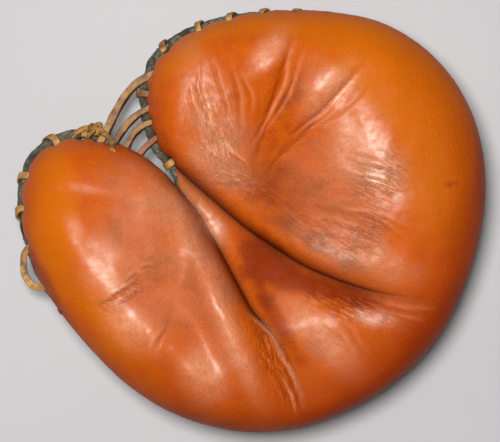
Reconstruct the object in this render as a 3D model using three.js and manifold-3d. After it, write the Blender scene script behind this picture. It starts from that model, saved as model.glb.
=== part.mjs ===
// An old catcher's mitt for the left hand, lying on its back with the palm up.
// A thick stuffed palm of leather, dished into a pocket, is laced over a welt to a hollow back of
// leather, which is open at the heel for the hand. Rawhide strands make the web between the thumb
// and the fingers. Millimetres, +Z up out of the palm, +Y towards the finger tips, +X away from
// the thumb. The origin is on the floor, under the middle of the mitt.
import * as THREE from "three";
import { mergeVertices } from "three/addons/utils/BufferGeometryUtils.js";
import Module from "manifold-3d";

const wasm = await Module();
wasm.setup();

// Driving dimensions
const CREST = 83; // height of the stuffed palm at its ridge, before its swells and dents
const PALM_FLOOR = 34; // height of the lining, which is the roof of the hand hollow
const BACK_TOP = 31.9; // height of the back's upper edge
const LEATHER = 2.5; // thickness of the back's leather
const WELT_RADIUS = 3; // half the thickness of the welt's bead
const WELT_OUT = 3.4; // how far the bead's middle stands out from the seam
const WELT_HEIGHT = (PALM_FLOOR + BACK_TOP) / 2;
const LACE_WIDTH = 4.6;
const LACE_THICK = 1.5;
const HOLE_PLAY = { wide: 0.5, thick: 0.4 }; // room on each side of a lace in its hole
const ROUNDNESS = 2.2; // exponent of the rolled shoulders, 2 for an ellipse

const table = (columns, rows) =>
  rows.map((row) => Object.fromEntries(columns.map((name, i) => [name, row[i]])));
const mix = (a, b, t) => a + (b - a) * t;

// The outline of the palm seen from above, from the crotch round the thumb, the heel and the
// fingers back to the crotch. tuck is how far the seam lies inside the outline, round is the
// width of the rolled shoulder, and belly is the height of the widest point.
const RIM = table(["x", "y", "tuck", "round", "belly"], [
  [-45, 21.5, 5, 14, 44],
  [-54, 30.5, 9, 26, 45],
  [-68, 41, 9, 32, 46],
  [-84.5, 48, 5, 36, 46],
  [-102.5, 51, 0.8, 38, 46],
  [-118.5, 48.5, 0.6, 38, 46],
  [-131, 40, 0.6, 38, 46],
  [-138.5, 25, 1.2, 40, 46],
  [-140.5, 7, 2, 42, 46],
  [-137.5, -14.5, 3.5, 42, 46],
  [-128.5, -37.5, 3.8, 42, 46],
  [-115, -58, 5.5, 42, 47],
  [-97.5, -79, 8, 42, 47],
  [-77, -99, 9, 40, 47],
  [-53, -115, 9, 38, 47],
  [-25, -125.5, 9, 36, 46],
  [0.5, -129.3, 9, 36, 46],
  [30, -126.5, 9, 36, 46],
  [56, -117.5, 9, 38, 46],
  [80.5, -104, 9, 40, 47],
  [101.5, -86.5, 9, 42, 47],
  [117.5, -67, 9, 44, 47],
  [129.5, -43.5, 9, 46, 47],
  [138, -18, 9, 46, 47],
  [143, 10, 9, 46, 47],
  [142.5, 37.5, 9, 46, 47],
  [135.5, 65, 9, 46, 47],
  [122, 89, 8, 46, 47],
  [102.5, 108.5, 7, 44, 47],
  [78, 122, 6.5, 42, 47],
  [51.5, 127.7, 6, 42, 46],
  [24, 129.2, 5, 42, 46],
  [-3.5, 126.5, 3.5, 40, 46],
  [-28, 119.5, 2, 38, 46],
  [-47.5, 108.5, 0.6, 36, 46],
  [-60, 94.5, 0.6, 34, 46],
  [-64.5, 77.5, 1.2, 32, 46],
  [-62.5, 61, 1.6, 28, 45],
  [-56.5, 45.5, 1.6, 20, 45],
  [-47.5, 34, 2.6, 14, 44],
]);
const ROWS = RIM.length;
const THUMB_CORNER = 0; // row where the crotch meets the thumb's crease
const HEEL_CORNER = 17; // row where the thumb's crease runs out over the heel
const SIDE_CORNER = 22; // row where the fingers' crease runs out over the side
const FINGER_CORNER = 39; // row where the crotch meets the fingers' crease

// The two deep creases on either side of the pocket's channel, from the crotch to the rim.
// drop is how far the bottom lies under the ridge, shoulder is the width of the roll beside it.
const THUMB_CREASE = table(["x", "y", "drop", "shoulder"], [
  [-45, 21.5, 27, 22],
  [-29.5, 0.5, 31, 26],
  [-15.5, -24.5, 30, 30],
  [-5.5, -43, 24, 30],
  [0.5, -53.5, 19, 28],
  [15.5, -71, 10, 24],
  [25, -89, 5, 20],
  [30.5, -108.5, 1.5, 16],
  [30, -126.5, 0, 14],
]);
const FINGER_CREASE = table(["x", "y", "drop", "shoulder"], [
  [-47.5, 34, 27, 16],
  [-34, 22, 29, 19],
  [-18.5, 8.5, 27, 22],
  [-3, -4.5, 25, 24],
  [13, -15.5, 24, 25],
  [31.5, -27, 22, 25],
  [48.5, -34.5, 18, 24],
  [67, -40.5, 13, 22],
  [87, -44.5, 6, 20],
  [110, -47, 1.5, 18],
  [129.5, -43.5, 0, 16],
]);
// Height of the channel's middle over its two creases, from the crotch to the heel.
const CHANNEL_CROWN = [1, 1.5, 0.5, -1, 1, 5, 8, 7, 3, 0];

// Broad swells and dents of the palm. rise is negative in a dent, turn is in degrees.
const SWELLS = table(["name", "x", "y", "long", "short", "turn", "rise"], [
  ["ball_pocket", 6, 24, 46, 34, 20, -17],
  ["finger_slope", 55, 0, 60, 34, -30, -6],
  ["thumb_ridge", -85, -10, 70, 45, 110, -2],
  ["thumb_hollow", -42, -18, 34, 11, 105, -5],
  ["thumb_notch", -58, -45, 22, 10, 30, -3.5],
  ["heel_low", 35, -92, 60, 34, 20, -9],
  ["thumb_root", -14, -70, 42, 8, 112, 3.5],
  ["thumb_roll", -68, -58, 62, 11, 134, 3],
  ["thumb_valley", -52, -44, 46, 10, 132, -3],
  ["root_valley", -31, -66, 30, 7, 112, -3],
  ["finger_tip_roll", 50, 84, 26, 10, 48, 1.5],
  ["first_finger_roll", 14, 96, 22, 9, 40, 1.5],
  ["finger_side_roll", 80, 34, 26, 14, 70, 2],
]);

// Sharper folds in the leather, a groove from one end to the other that fades out at both.
const FOLDS = table(["name", "x0", "y0", "x1", "y1", "depth", "left", "right"], [
  ["first_finger", 0, 30, 28, 119, 4.5, 3, 20],
  ["ring_finger", 8, 28, 73, 98, 4.5, 3, 22],
  ["little_finger", 25, 10, 96, 18, 2.2, 9, 12],
  ["thumb_cross", -96, -55, -58, -35, 2.6, 8, 8],
  ["thumb_length", -55, -84, -42, -45, 3.5, 8, 9],
]);
const FOLD_ROUND = 0.8; // how broadly the bottom of a fold is rounded

const CREASE_FADE = 16; // a crease less deep than this has soft sides
const CORNER_BLEND = 5; // how broadly the top turns into the rolled rim beside a deep crease
const HEEL_BLEND = 16; // and where the creases run out
const BLEND_REACH = 40; // distance from a crease at which its blend has faded to the corner's

// A curve through the rows of a table, read by row number, with its other columns blended.
function guide(rows, closed) {
  const points = rows.map((row) => new THREE.Vector3(row.x, row.y, 0));
  const curve = new THREE.CatmullRomCurve3(points, closed, "centripetal");
  const spans = closed ? rows.length : rows.length - 1;
  return (at) => {
    const row = closed ? ((at % spans) + spans) % spans : Math.min(at, spans);
    const first = Math.min(Math.floor(row), spans - (closed ? 0 : 1));
    const before = rows[first % rows.length];
    const after = rows[(first + 1) % rows.length];
    const share = row - first;
    const blended = {};
    for (const name of Object.keys(before)) blended[name] = mix(before[name], after[name], share);
    const point = curve.getPoint(row / spans);
    const along = curve.getTangent(row / spans);
    return { ...blended, x: point.x, y: point.y, tx: along.x, ty: along.y, nx: along.y, ny: -along.x };
  };
}
const rimAt = guide(RIM, true);
const thumbCreaseAt = guide(THUMB_CREASE, false);
const fingerCreaseAt = guide(FINGER_CREASE, false);

// A point near the seam: out is measured from the seam towards the outside.
function seamPoint(row, out, z) {
  const at = rimAt(row);
  const shift = out - at.tuck;
  return new THREE.Vector3(at.x + at.nx * shift, at.y + at.ny * shift, z);
}

const sample = (guideAt, from, to, steps) =>
  Array.from({ length: steps + 1 }, (_, i) => guideAt(mix(from, to, i / steps)));

// How far a point is from a sampled line, and the sample's columns there.
function nearest(line, x, y) {
  let best = { distance: Infinity };
  for (let i = 0; i + 1 < line.length; i++) {
    const [a, b] = [line[i], line[i + 1]];
    const [dx, dy] = [b.x - a.x, b.y - a.y];
    const share = THREE.MathUtils.clamp(
      ((x - a.x) * dx + (y - a.y) * dy) / (dx * dx + dy * dy), 0, 1);
    const distance = Math.hypot(x - a.x - dx * share, y - a.y - dy * share);
    if (distance < best.distance) best = { distance, a, b, share };
  }
  return best;
}

// 0 at the foot of a rolled shoulder and 1 at its top, upright at the foot and level at the top.
const shoulder = (t) =>
  t >= 1 ? 1 : Math.pow(1 - Math.pow(1 - Math.max(t, 0), ROUNDNESS), 1 / ROUNDNESS);

// The side of a crease: a rolled edge where it is deep, and a soft slope where it fades out.
function creaseSide(t, drop) {
  const soft = 1 - Math.min(drop / CREASE_FADE, 1);
  return mix(shoulder(t), THREE.MathUtils.smoothstep(t, 0, 1), soft);
}

// The lower of two heights, with the corner between them rounded.
function softerMin(a, b, blend) {
  const share = THREE.MathUtils.clamp(0.5 + (0.5 * (b - a)) / blend, 0, 1);
  return mix(b, a, share) - blend * share * (1 - share);
}

const blendBeside = (drop) => mix(HEEL_BLEND, CORNER_BLEND, Math.min(drop / CREASE_FADE, 1));

// The palm's height where neither the rim nor a crease rolls it down.
function ridgeHeight(x, y) {
  let z = CREST;
  for (const swell of SWELLS) {
    const turn = THREE.MathUtils.degToRad(swell.turn);
    const [dx, dy] = [x - swell.x, y - swell.y];
    const u = (dx * Math.cos(turn) + dy * Math.sin(turn)) / swell.long;
    const v = (dy * Math.cos(turn) - dx * Math.sin(turn)) / swell.short;
    z += swell.rise * Math.exp(-u * u - v * v);
  }
  for (const fold of FOLDS) {
    const length = Math.hypot(fold.x1 - fold.x0, fold.y1 - fold.y0);
    const [ax, ay] = [(fold.x1 - fold.x0) / length, (fold.y1 - fold.y0) / length];
    const along = ((x - fold.x0) * ax + (y - fold.y0) * ay) / length;
    const side = (y - fold.y0) * ax - (x - fold.x0) * ay;
    if (along <= 0 || along >= 1) continue;
    const reach = side > 0 ? fold.left : fold.right;
    z -= fold.depth * Math.sin(Math.PI * along) * Math.exp(-Math.hypot(side, FOLD_ROUND) / (0.5 * reach));
  }
  return z;
}

const RIM_STEPS_PER_ROW = 3;
const OUTLINE = sample(rimAt, 0, ROWS, ROWS * RIM_STEPS_PER_ROW);
const THUMB_LINE = sample(thumbCreaseAt, 0, THUMB_CREASE.length - 1, 32);
const FINGER_LINE = sample(fingerCreaseAt, 0, FINGER_CREASE.length - 1, 40);

function rolledAtRim(x, y, height) {
  const { distance, a, b, share } = nearest(OUTLINE, x, y);
  const belly = mix(a.belly, b.belly, share);
  const round = mix(a.round, b.round, share);
  return belly + (height - belly) * shoulder(distance / round);
}

function lobeHeight(x, y, creaseLine) {
  const top = ridgeHeight(x, y);
  const { distance, a, b, share } = nearest(creaseLine, x, y);
  const drop = mix(a.drop, b.drop, share);
  const foot = ridgeHeight(mix(a.x, b.x, share), mix(a.y, b.y, share)) - drop;
  const beside = foot + (top - foot) * creaseSide(distance / mix(a.shoulder, b.shoulder, share), drop);
  const blend = mix(blendBeside(drop), CORNER_BLEND, Math.min(distance / BLEND_REACH, 1));
  return softerMin(beside, rolledAtRim(x, y, top), blend);
}

// The channel between the creases: down is its share of the way from the crotch to the heel,
// and across its share of the way from the thumb's crease to the fingers'.
function channelHeight(x, y, down, across) {
  const near = thumbCreaseAt(down * (THUMB_CREASE.length - 1)).drop;
  const far = fingerCreaseAt(down * (FINGER_CREASE.length - 1)).drop;
  const at = down * (CHANNEL_CROWN.length - 1);
  const first = Math.min(Math.floor(at), CHANNEL_CROWN.length - 2);
  const crown = mix(CHANNEL_CROWN[first], CHANNEL_CROWN[first + 1], at - first);
  const drop = mix(near, far, across);
  const top = ridgeHeight(x, y);
  return softerMin(top - drop + crown * 4 * across * (1 - across), rolledAtRim(x, y, top), blendBeside(drop));
}

// Collects triangles and gives one closed geometry back.
class Skin {
  constructor() {
    this.numbers = [];
  }
  triangle(a, b, c) {
    for (const p of [a, b, c]) this.numbers.push(p.x, p.y, p.z);
  }
  quad(a, b, c, d) {
    this.triangle(a, b, c);
    this.triangle(a, c, d);
  }
  // Joins two rows of points. ring closes the rows on themselves.
  strip(lower, upper, ring = false) {
    const count = ring ? lower.length : lower.length - 1;
    for (let i = 0; i < count; i++) {
      const j = (i + 1) % lower.length;
      this.quad(lower[i], lower[j], upper[j], upper[i]);
    }
  }
  cap(points, facingUp) {
    const flat = points.map((p) => new THREE.Vector2(p.x, p.y));
    for (const [a, b, c] of THREE.ShapeUtils.triangulateShape(flat, [])) {
      if (facingUp) this.triangle(points[a], points[b], points[c]);
      else this.triangle(points[a], points[c], points[b]);
    }
  }
  geometry() {
    const raw = new THREE.BufferGeometry();
    raw.setAttribute("position", new THREE.Float32BufferAttribute(this.numbers, 3));
    return mergeVertices(raw, 1e-4);
  }
}

function toSolid(geometry) {
  const bare = new THREE.BufferGeometry();
  bare.setAttribute("position", geometry.getAttribute("position"));
  bare.setIndex(geometry.index);
  const merged = mergeVertices(bare, 1e-4);
  return new wasm.Manifold(
    new wasm.Mesh({
      numProp: 3,
      vertProperties: merged.attributes.position.array,
      triVerts: new Uint32Array(merged.index.array),
    }),
  );
}

function toGeometry(solid) {
  const mesh = solid.getMesh();
  const geometry = new THREE.BufferGeometry();
  geometry.setAttribute("position", new THREE.BufferAttribute(mesh.vertProperties, 3));
  geometry.setIndex(new THREE.BufferAttribute(mesh.triVerts, 1));
  return geometry;
}

// The rows at which the rim is sampled: closer together round the crotch.
const CROTCH_FROM = 38;
const partsOf = (row) => (row % ROWS >= CROTCH_FROM || row % ROWS < 1 ? 3 : 2);
function rowsBetween(from, to) {
  const rows = [];
  for (let row = from; row < to; row++) {
    for (let part = 0; part < partsOf(row); part++) rows.push(row + part / partsOf(row));
  }
  rows.push(to);
  return rows;
}

// As seamPoint, but on the straight pieces that the solids have between those rows.
function facetPoint(row, out, z) {
  const parts = partsOf(Math.floor(row + ROWS) % ROWS);
  const first = Math.floor(row * parts) / parts;
  return seamPoint(first, out, z).lerp(seamPoint(first + 1 / parts, out, z), (row - first) * parts);
}

// The stuffed palm: a rolled rim, two puffed lobes, and the channel of the pocket between them
const RIM_LEVELS = 3;
const LINING_EDGE = 8; // width of the flat edge round the lining
const CHANNEL_DOWN = 20;
const CHANNEL_GATHER = 0.8; // how far the channel's rows are drawn together towards its ends
const LOBES = table(["name", "x", "y", "rings"], [
  ["thumb", -68, -30, 8],
  ["fingers", 6, 23, 10],
]);
const RING_CLUSTER = 1.7; // above 1 it gathers the rings near the edge of a lobe

function bellyRing(rows) {
  return rows.map((row) => {
    const at = rimAt(row);
    return new THREE.Vector3(at.x, at.y, at.belly);
  });
}

function addLobe(skin, edge, lobe, creaseLine) {
  const middle = new THREE.Vector3(lobe.x, lobe.y, lobeHeight(lobe.x, lobe.y, creaseLine));
  let outer = edge;
  for (let ring = 1; ring < lobe.rings; ring++) {
    const inward = Math.pow(ring / lobe.rings, RING_CLUSTER);
    const inner = edge.map((p) => {
      const x = mix(p.x, lobe.x, inward);
      const y = mix(p.y, lobe.y, inward);
      return new THREE.Vector3(x, y, lobeHeight(x, y, creaseLine));
    });
    skin.strip(outer, inner, true);
    outer = inner;
  }
  outer.forEach((p, i) => skin.triangle(p, outer[(i + 1) % outer.length], middle));
}

function palmGeometry() {
  const skin = new Skin();
  const thumbRows = rowsBetween(THUMB_CORNER, HEEL_CORNER);
  const heelRows = rowsBetween(HEEL_CORNER, SIDE_CORNER);
  const fingerRows = rowsBetween(SIDE_CORNER, FINGER_CORNER);
  const crotchRows = rowsBetween(FINGER_CORNER, ROWS);
  const ringRows = [...thumbRows, ...heelRows.slice(1), ...fingerRows.slice(1), ...crotchRows.slice(1, -1)];

  const lining = ringRows.map((row) => seamPoint(row, -LINING_EDGE, PALM_FLOOR));
  skin.cap(lining, false);
  let below = ringRows.map((row) => seamPoint(row, 0, PALM_FLOOR));
  skin.strip(lining, below, true);
  for (let level = 1; level <= RIM_LEVELS; level++) {
    const angle = ((level / RIM_LEVELS) * Math.PI) / 2;
    const above = ringRows.map((row) => {
      const at = rimAt(row);
      const out = at.tuck * (1 - Math.cos(angle));
      return seamPoint(row, out, mix(PALM_FLOOR, at.belly, Math.sin(angle)));
    });
    skin.strip(below, above, true);
    below = above;
  }

  // The channel, a patch between the crotch, the two creases and the heel.
  const heelEdge = bellyRing(heelRows);
  const crotchEdge = bellyRing(crotchRows).reverse();
  const across = heelEdge.length - 1;
  const edgePoint = (edge, share) => {
    const at = share * (edge.length - 1);
    const first = Math.min(Math.floor(at), edge.length - 2);
    return edge[first].clone().lerp(edge[first + 1], at - first);
  };
  const grid = [];
  for (let i = 0; i <= CHANNEL_DOWN; i++) {
    const even = i / CHANNEL_DOWN;
    const down = mix(even, (1 - Math.cos(Math.PI * even)) / 2, CHANNEL_GATHER);
    const a = thumbCreaseAt(down * (THUMB_CREASE.length - 1));
    const b = fingerCreaseAt(down * (FINGER_CREASE.length - 1));
    const line = [];
    for (let j = 0; j <= across; j++) {
      const side = j / across;
      const top = edgePoint(crotchEdge, side);
      const bottom = edgePoint(heelEdge, side);
      const blend = (k) => {
        const upper = mix(crotchEdge[0][k], crotchEdge.at(-1)[k], side);
        const lower = mix(heelEdge[0][k], heelEdge.at(-1)[k], side);
        return mix(a[k], b[k], side) + mix(top[k], bottom[k], down) - mix(upper, lower, down);
      };
      const [x, y] = [blend("x"), blend("y")];
      line.push(new THREE.Vector3(x, y, channelHeight(x, y, down, side)));
    }
    grid.push(line);
  }
  grid[CHANNEL_DOWN] = heelEdge;
  grid[0][0] = crotchEdge[0];
  grid[0][across] = crotchEdge.at(-1);
  // The channel's upper end meets the crotch's few points with a fan.
  for (let j = 1; j < across; j++) grid[0][j] = edgePoint(crotchEdge, j / across);
  fanBetween(skin, crotchEdge, grid[0]);
  for (let i = 0; i < CHANNEL_DOWN; i++) skin.strip(grid[i + 1], grid[i]);

  const thumbSide = grid.map((line) => line[0]);
  const fingerSide = grid.map((line) => line[across]);
  const thumbEdge = [...bellyRing(thumbRows), ...thumbSide.slice(1, -1).reverse()];
  const fingerEdge = [...bellyRing(fingerRows), ...fingerSide.slice(1, -1)];
  addLobe(skin, thumbEdge, LOBES[0], THUMB_LINE);
  addLobe(skin, fingerEdge, LOBES[1], FINGER_LINE);
  return skin.geometry();
}

// Fills the thin sliver between two lines with the same ends and different numbers of points.
function fanBetween(skin, coarse, fine) {
  let [i, j] = [0, 0];
  while (i < coarse.length - 1 || j < fine.length - 1) {
    const nextCoarse = (i + 1) / (coarse.length - 1);
    const nextFine = (j + 1) / (fine.length - 1);
    if (j === fine.length - 1 || (i < coarse.length - 1 && nextCoarse <= nextFine)) {
      skin.triangle(coarse[i], fine[j], coarse[i + 1]);
      i++;
    } else {
      skin.triangle(coarse[i], fine[j], fine[j + 1]);
      j++;
    }
  }
}

// Sweeps a closed outline along stations that each give the outline's points in space.
function sweptGeometry(stations, ring) {
  const skin = new Skin();
  const last = ring ? stations.length : stations.length - 1;
  for (let i = 0; i < last; i++) skin.strip(stations[(i + 1) % stations.length], stations[i], true);
  if (!ring) {
    const [start, end] = [stations[0], stations.at(-1)];
    for (let i = 1; i + 1 < start.length; i++) {
      skin.triangle(start[0], start[i], start[i + 1]);
      skin.triangle(end[0], end[i + 1], end[i]);
    }
  }
  return skin.geometry();
}

// The back: a dish of leather that rests on the floor, laced to the palm along its upper edge
const BACK_CURVE = 14; // how far the wall curves in between its edge and the floor
const WALL_LEVELS = 3;
const WRIST_OPENING = { left: -38, right: 48, inner: -54, corner: 20 };
const CUTTER = { outer: -160, below: -10, tall: 60 }; // reaches past the back on every side

function backGeometry(rows) {
  const skin = new Skin();
  const ring = (out, z) => rows.map((row) => seamPoint(row, out, z));
  const outer = [];
  const inner = [];
  for (let level = 0; level <= WALL_LEVELS; level++) {
    const angle = ((level / WALL_LEVELS) * Math.PI) / 2;
    const inward = 1 - Math.cos(angle);
    outer.push(ring(-BACK_CURVE * inward, BACK_TOP * (1 - Math.sin(angle))));
    inner.push(ring(-LEATHER - (BACK_CURVE - 1) * inward, mix(BACK_TOP, LEATHER, Math.sin(angle))));
  }
  for (let level = 0; level < WALL_LEVELS; level++) {
    skin.strip(outer[level + 1], outer[level], true);
    skin.strip(inner[level], inner[level + 1], true);
  }
  skin.strip(outer[0], inner[0], true);
  skin.cap(outer[WALL_LEVELS], false);
  skin.cap(inner[WALL_LEVELS], true);
  return skin.geometry();
}

function wristCutter() {
  const { left, right, inner, corner } = WRIST_OPENING;
  const shape = new THREE.Shape();
  shape.moveTo(left, CUTTER.outer);
  shape.lineTo(right, CUTTER.outer);
  shape.lineTo(right, inner - corner);
  shape.quadraticCurveTo(right, inner, right - corner, inner);
  shape.lineTo(left + corner, inner);
  shape.quadraticCurveTo(left, inner, left, inner - corner);
  const settings = { depth: CUTTER.tall, bevelEnabled: false, curveSegments: 5 };
  return new THREE.ExtrudeGeometry(shape, settings).translate(0, 0, CUTTER.below);
}

// The welt: a bead all along the seam, with a flange that the palm and the back hold between them
const WELT_FROM = 18.3; // row where it starts at the heel, on the fingers' side
const WELT_TO = ROWS + 14; // and where it ends, on the thumb's side
const BEAD_SIDES = 6;
const FLANGE = { thick: 1.4, inward: 1.2 };

function weltGeometry(rows) {
  const section = [];
  const half = FLANGE.thick / 2;
  const gap = Math.asin(half / WELT_RADIUS);
  for (let i = 0; i <= BEAD_SIDES; i++) {
    const angle = mix(-Math.PI + gap, Math.PI - gap, i / BEAD_SIDES);
    section.push([WELT_OUT + WELT_RADIUS * Math.cos(angle), WELT_RADIUS * Math.sin(angle)]);
  }
  section.push([-FLANGE.inward, half], [-FLANGE.inward, -half]);
  const stations = rows.map((row) => section.map(([out, up]) => seamPoint(row, out, WELT_HEIGHT + up)));
  return sweptGeometry(stations, false);
}

// Lacing. A stitch loops round the welt: out of the palm above it, into the back below it, and on
// inside. Angles are in degrees, 90 over the welt, 0 outside it and 180 inside the seam.
const LOOP = { middle: 2, wide: 5.95, high: 5.2, low: 6.6 };

function loopStation(row, degrees) {
  const angle = THREE.MathUtils.degToRad(degrees);
  const tall = Math.sin(angle) > 0 ? LOOP.high : LOOP.low;
  const [out, up] = [LOOP.wide * Math.cos(angle), tall * Math.sin(angle)];
  return {
    at: facetPoint(row, LOOP.middle + out, WELT_HEIGHT + up),
    facing: facingAt(row, out / LOOP.wide ** 2, up / tall ** 2),
  };
}

function facingAt(row, out, up) {
  const at = rimAt(row);
  return new THREE.Vector3(at.nx * out, at.ny * out, up).normalize();
}

function loopPart(fromRow, toRow, fromAngle, toAngle, steps) {
  return Array.from({ length: steps }, (_, i) =>
    loopStation(mix(fromRow, toRow, i / steps), mix(fromAngle, toAngle, i / steps)));
}

// A flat lace through its stations, as wide and as thick as asked.
function laceGeometry(stations, ring, width, thick) {
  const count = stations.length;
  const sections = stations.map((station, i) => {
    const next = stations[ring ? (i + 1) % count : Math.min(i + 1, count - 1)].at;
    const before = stations[ring ? (i + count - 1) % count : Math.max(i - 1, 0)].at;
    const along = next.clone().sub(before).normalize();
    const side = along.clone().cross(station.facing).normalize();
    const up = side.clone().cross(along);
    const corner = (s, u) =>
      station.at.clone().addScaledVector(side, (s * width) / 2).addScaledVector(up, (u * thick) / 2);
    return [corner(-1, -1), corner(1, -1), corner(1, 1), corner(-1, 1)];
  });
  return sweptGeometry(sections, ring);
}

// The stitches of the two edge laces: the row at their middle and how far they lean along it.
const FINGER_STITCHES = table(["row", "lean"], [
  [34.2, 0.25], [33.1, 0.2], [32.3, 0.2], [31.55, 0.2], [30.8, 0.2], [30.1, 0.2],
  [29.3, 0.2], [28.45, 0.2], [27.75, 0.2], [27.05, 0.2], [26.3, 0.2], [25.55, 0.2], [24.8, 0.2],
  [24.05, 0.2],
]);
const THUMB_STITCHES = table(["row", "lean"], [
  [4.1, 0.15], [5.35, 0.5], [7.0, 0.15], [8.1, 0.15], [9.0, 0.1],
]);
const HEEL_STITCHES = table(["row", "lean"], [
  [10.85, 0.1], [11.6, 0.2], [12.35, 0.2],
]);
// The thumb's lace hangs out in a slack loop before it goes back into the palm.
const SLACK = table(["row", "out", "height"], [
  [9.06, 0.5, 38.2],
  [9.1, 4.5, 38.8],
  [9.18, 8.5, 38.6],
  [9.32, 12, 38],
  [9.52, 14.2, 37.4],
  [9.76, 14.8, 37.2],
  [9.96, 13, 37.6],
  [10.08, 9.5, 38.3],
  [10.14, 5, 38.6],
  [10.17, 0.5, 38.2],
]);
const SLACK_END = 10.2;

function fingerLace() {
  const stations = [];
  FINGER_STITCHES.forEach(({ row, lean }, i) => {
    stations.push(...loopPart(row + lean / 2, row - lean / 2, 90, -90, 4));
    const next = FINGER_STITCHES[i + 1];
    if (next) stations.push(...loopPart(row - lean / 2, next.row + next.lean / 2, -90, -270, 3));
    else stations.push(loopStation(row - lean / 2, -90), loopStation(row - lean, -140));
  });
  return stations;
}

function thumbLace() {
  const stations = [];
  THUMB_STITCHES.forEach(({ row, lean }, i) => {
    const next = THUMB_STITCHES[i + 1];
    const slackFrom = SLACK[0].row;
    if (next) stations.push(...loopPart(row - lean / 2, row + lean / 2, 90, -90, 4));
    if (next) stations.push(...loopPart(row + lean / 2, next.row - next.lean / 2, -90, -270, 5));
    else stations.push(loopStation(slackFrom, 120));
  });
  for (const { row, out, height } of SLACK) {
    stations.push({ at: facetPoint(row, out, height), facing: new THREE.Vector3(0, 0, 1) });
  }
  let from = SLACK_END;
  for (const { row, lean } of HEEL_STITCHES) {
    stations.push(...loopPart(from, row - lean / 2, 115, 270, 3));
    stations.push(...loopPart(row - lean / 2, row + lean / 2, 270, 450, 4));
    from = row + lean / 2;
  }
  stations.push(loopStation(from, 450), loopStation(from + 0.05, 490));
  return stations;
}

// The strands of the web, each a flat ring round both welts, from the thumb's row to the
// fingers' row. leaves and enters are the headings of its ends in degrees, 0 towards +X.
const WEB = table(["name", "thumb", "leaves", "fingers", "enters", "width"], [
  ["web_lace_1", 3.5, 60, 35.2, 20, 5.4],
  ["web_lace_2", 3.1, 58, 36.45, 22, 4.6],
  ["web_lace_3", 2.6, 66, 37.0, 8, 4.4],
  ["web_lace_4", 2.0, 75, 37.6, 35, 4.4],
]);
const WEB_REACH = 6.5; // how far a strand goes in past each seam
const WEB_DROP = 5.2; // half the height of a strand's ring
const WEB_HANDLE = 0.4; // share of a strand's length along which it keeps the heading of its end
const heading = (degrees) => {
  const angle = THREE.MathUtils.degToRad(degrees);
  return new THREE.Vector3(Math.cos(angle), Math.sin(angle), 0);
};

function webStrand({ thumb, leaves, fingers, enters }) {
  const inset = WEB_REACH - WEB_DROP;
  const [leaving, entering] = [heading(leaves), heading(enters)];
  const from = facetPoint(thumb, 0, WELT_HEIGHT).addScaledVector(leaving, -inset);
  const to = facetPoint(fingers, 0, WELT_HEIGHT).addScaledVector(entering, inset);
  const handle = from.distanceTo(to) * WEB_HANDLE;
  const afterStart = from.clone().addScaledVector(leaving, handle);
  const beforeEnd = to.clone().addScaledVector(entering, -handle);
  const path = new THREE.CubicBezierCurve3(from, afterStart, beforeEnd, to);
  const stations = [];
  const add = (share, degrees) => {
    const angle = THREE.MathUtils.degToRad(degrees);
    const facing = path.getTangent(share).multiplyScalar(Math.cos(angle));
    facing.z = Math.sin(angle);
    stations.push({ at: path.getPoint(share).addScaledVector(facing, WEB_DROP), facing });
  };
  for (const share of [0, 0.3, 0.7]) add(share, 90);
  for (const degrees of [90, 45, 0, -45]) add(1, degrees);
  for (const share of [1, 0.7, 0.3]) add(share, -90);
  for (const degrees of [270, 225, 180, 135]) add(0, degrees);
  return stations;
}

// Single stitches round the welt: one between two strands of the web and one in the crotch
const EDGE_STITCHES = table(["name", "row"], [
  ["edge_stitch_1", 35.93],
  ["edge_stitch_2", 38.8],
]);

// The wrist strap across the opening of the back, and the plain studs that hold it
const STRAP = { width: 22, thick: 2.2, left: -60, right: 70, y: -71, z: LEATHER + 0.3 };
const STUD = { radius: 6, top: 4.8, head: 2, shaft: 2.2, foot: 0.2, sunk: 0.5, inset: 10, play: 0.3 };
const STUD_HEAD_Z = STRAP.z + STRAP.thick + 0.3;

function strapGeometry() {
  const { width, thick, left, right, y, z } = STRAP;
  const shape = new THREE.Shape();
  const round = width / 2;
  shape.moveTo(left + round, -round);
  shape.lineTo(right - round, -round);
  shape.absarc(right - round, 0, round, -Math.PI / 2, Math.PI / 2, false);
  shape.lineTo(left + round, round);
  shape.absarc(left + round, 0, round, Math.PI / 2, (3 * Math.PI) / 2, false);
  const strap = new THREE.ExtrudeGeometry(shape, { depth: thick, bevelEnabled: false, curveSegments: 5 });
  return strap.translate(0, y, z);
}

// A closed upright cylinder or cone, standing on height z.
function uprightSolid(bottom, top, tall, sides, x, z) {
  const turned = new THREE.CylinderGeometry(top, bottom, tall, sides).rotateX(Math.PI / 2);
  return toSolid(turned.translate(x, STRAP.y, z + tall / 2));
}

function studShaft(x, play) {
  const radius = STUD.shaft + play;
  const tall = STUD_HEAD_Z + STUD.sunk - STUD.foot + play;
  return uprightSolid(radius, radius, tall, 10, x, STUD.foot - play);
}

function studSolid(x) {
  return studShaft(x, 0).add(uprightSolid(STUD.radius, STUD.top, STUD.head, 14, x, STUD_HEAD_Z));
}

// Assembly
const ringRows = rowsBetween(0, ROWS).slice(0, -1);
const weltRows = rowsBetween(0, 2 * ROWS).filter((row) => row >= WELT_FROM && row <= WELT_TO);
let palm = toSolid(palmGeometry());
let back = toSolid(backGeometry(ringRows)).subtract(toSolid(wristCutter()));
const welt = toSolid(weltGeometry([WELT_FROM, ...weltRows.filter((row) => row > WELT_FROM + 0.2)]));

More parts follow.
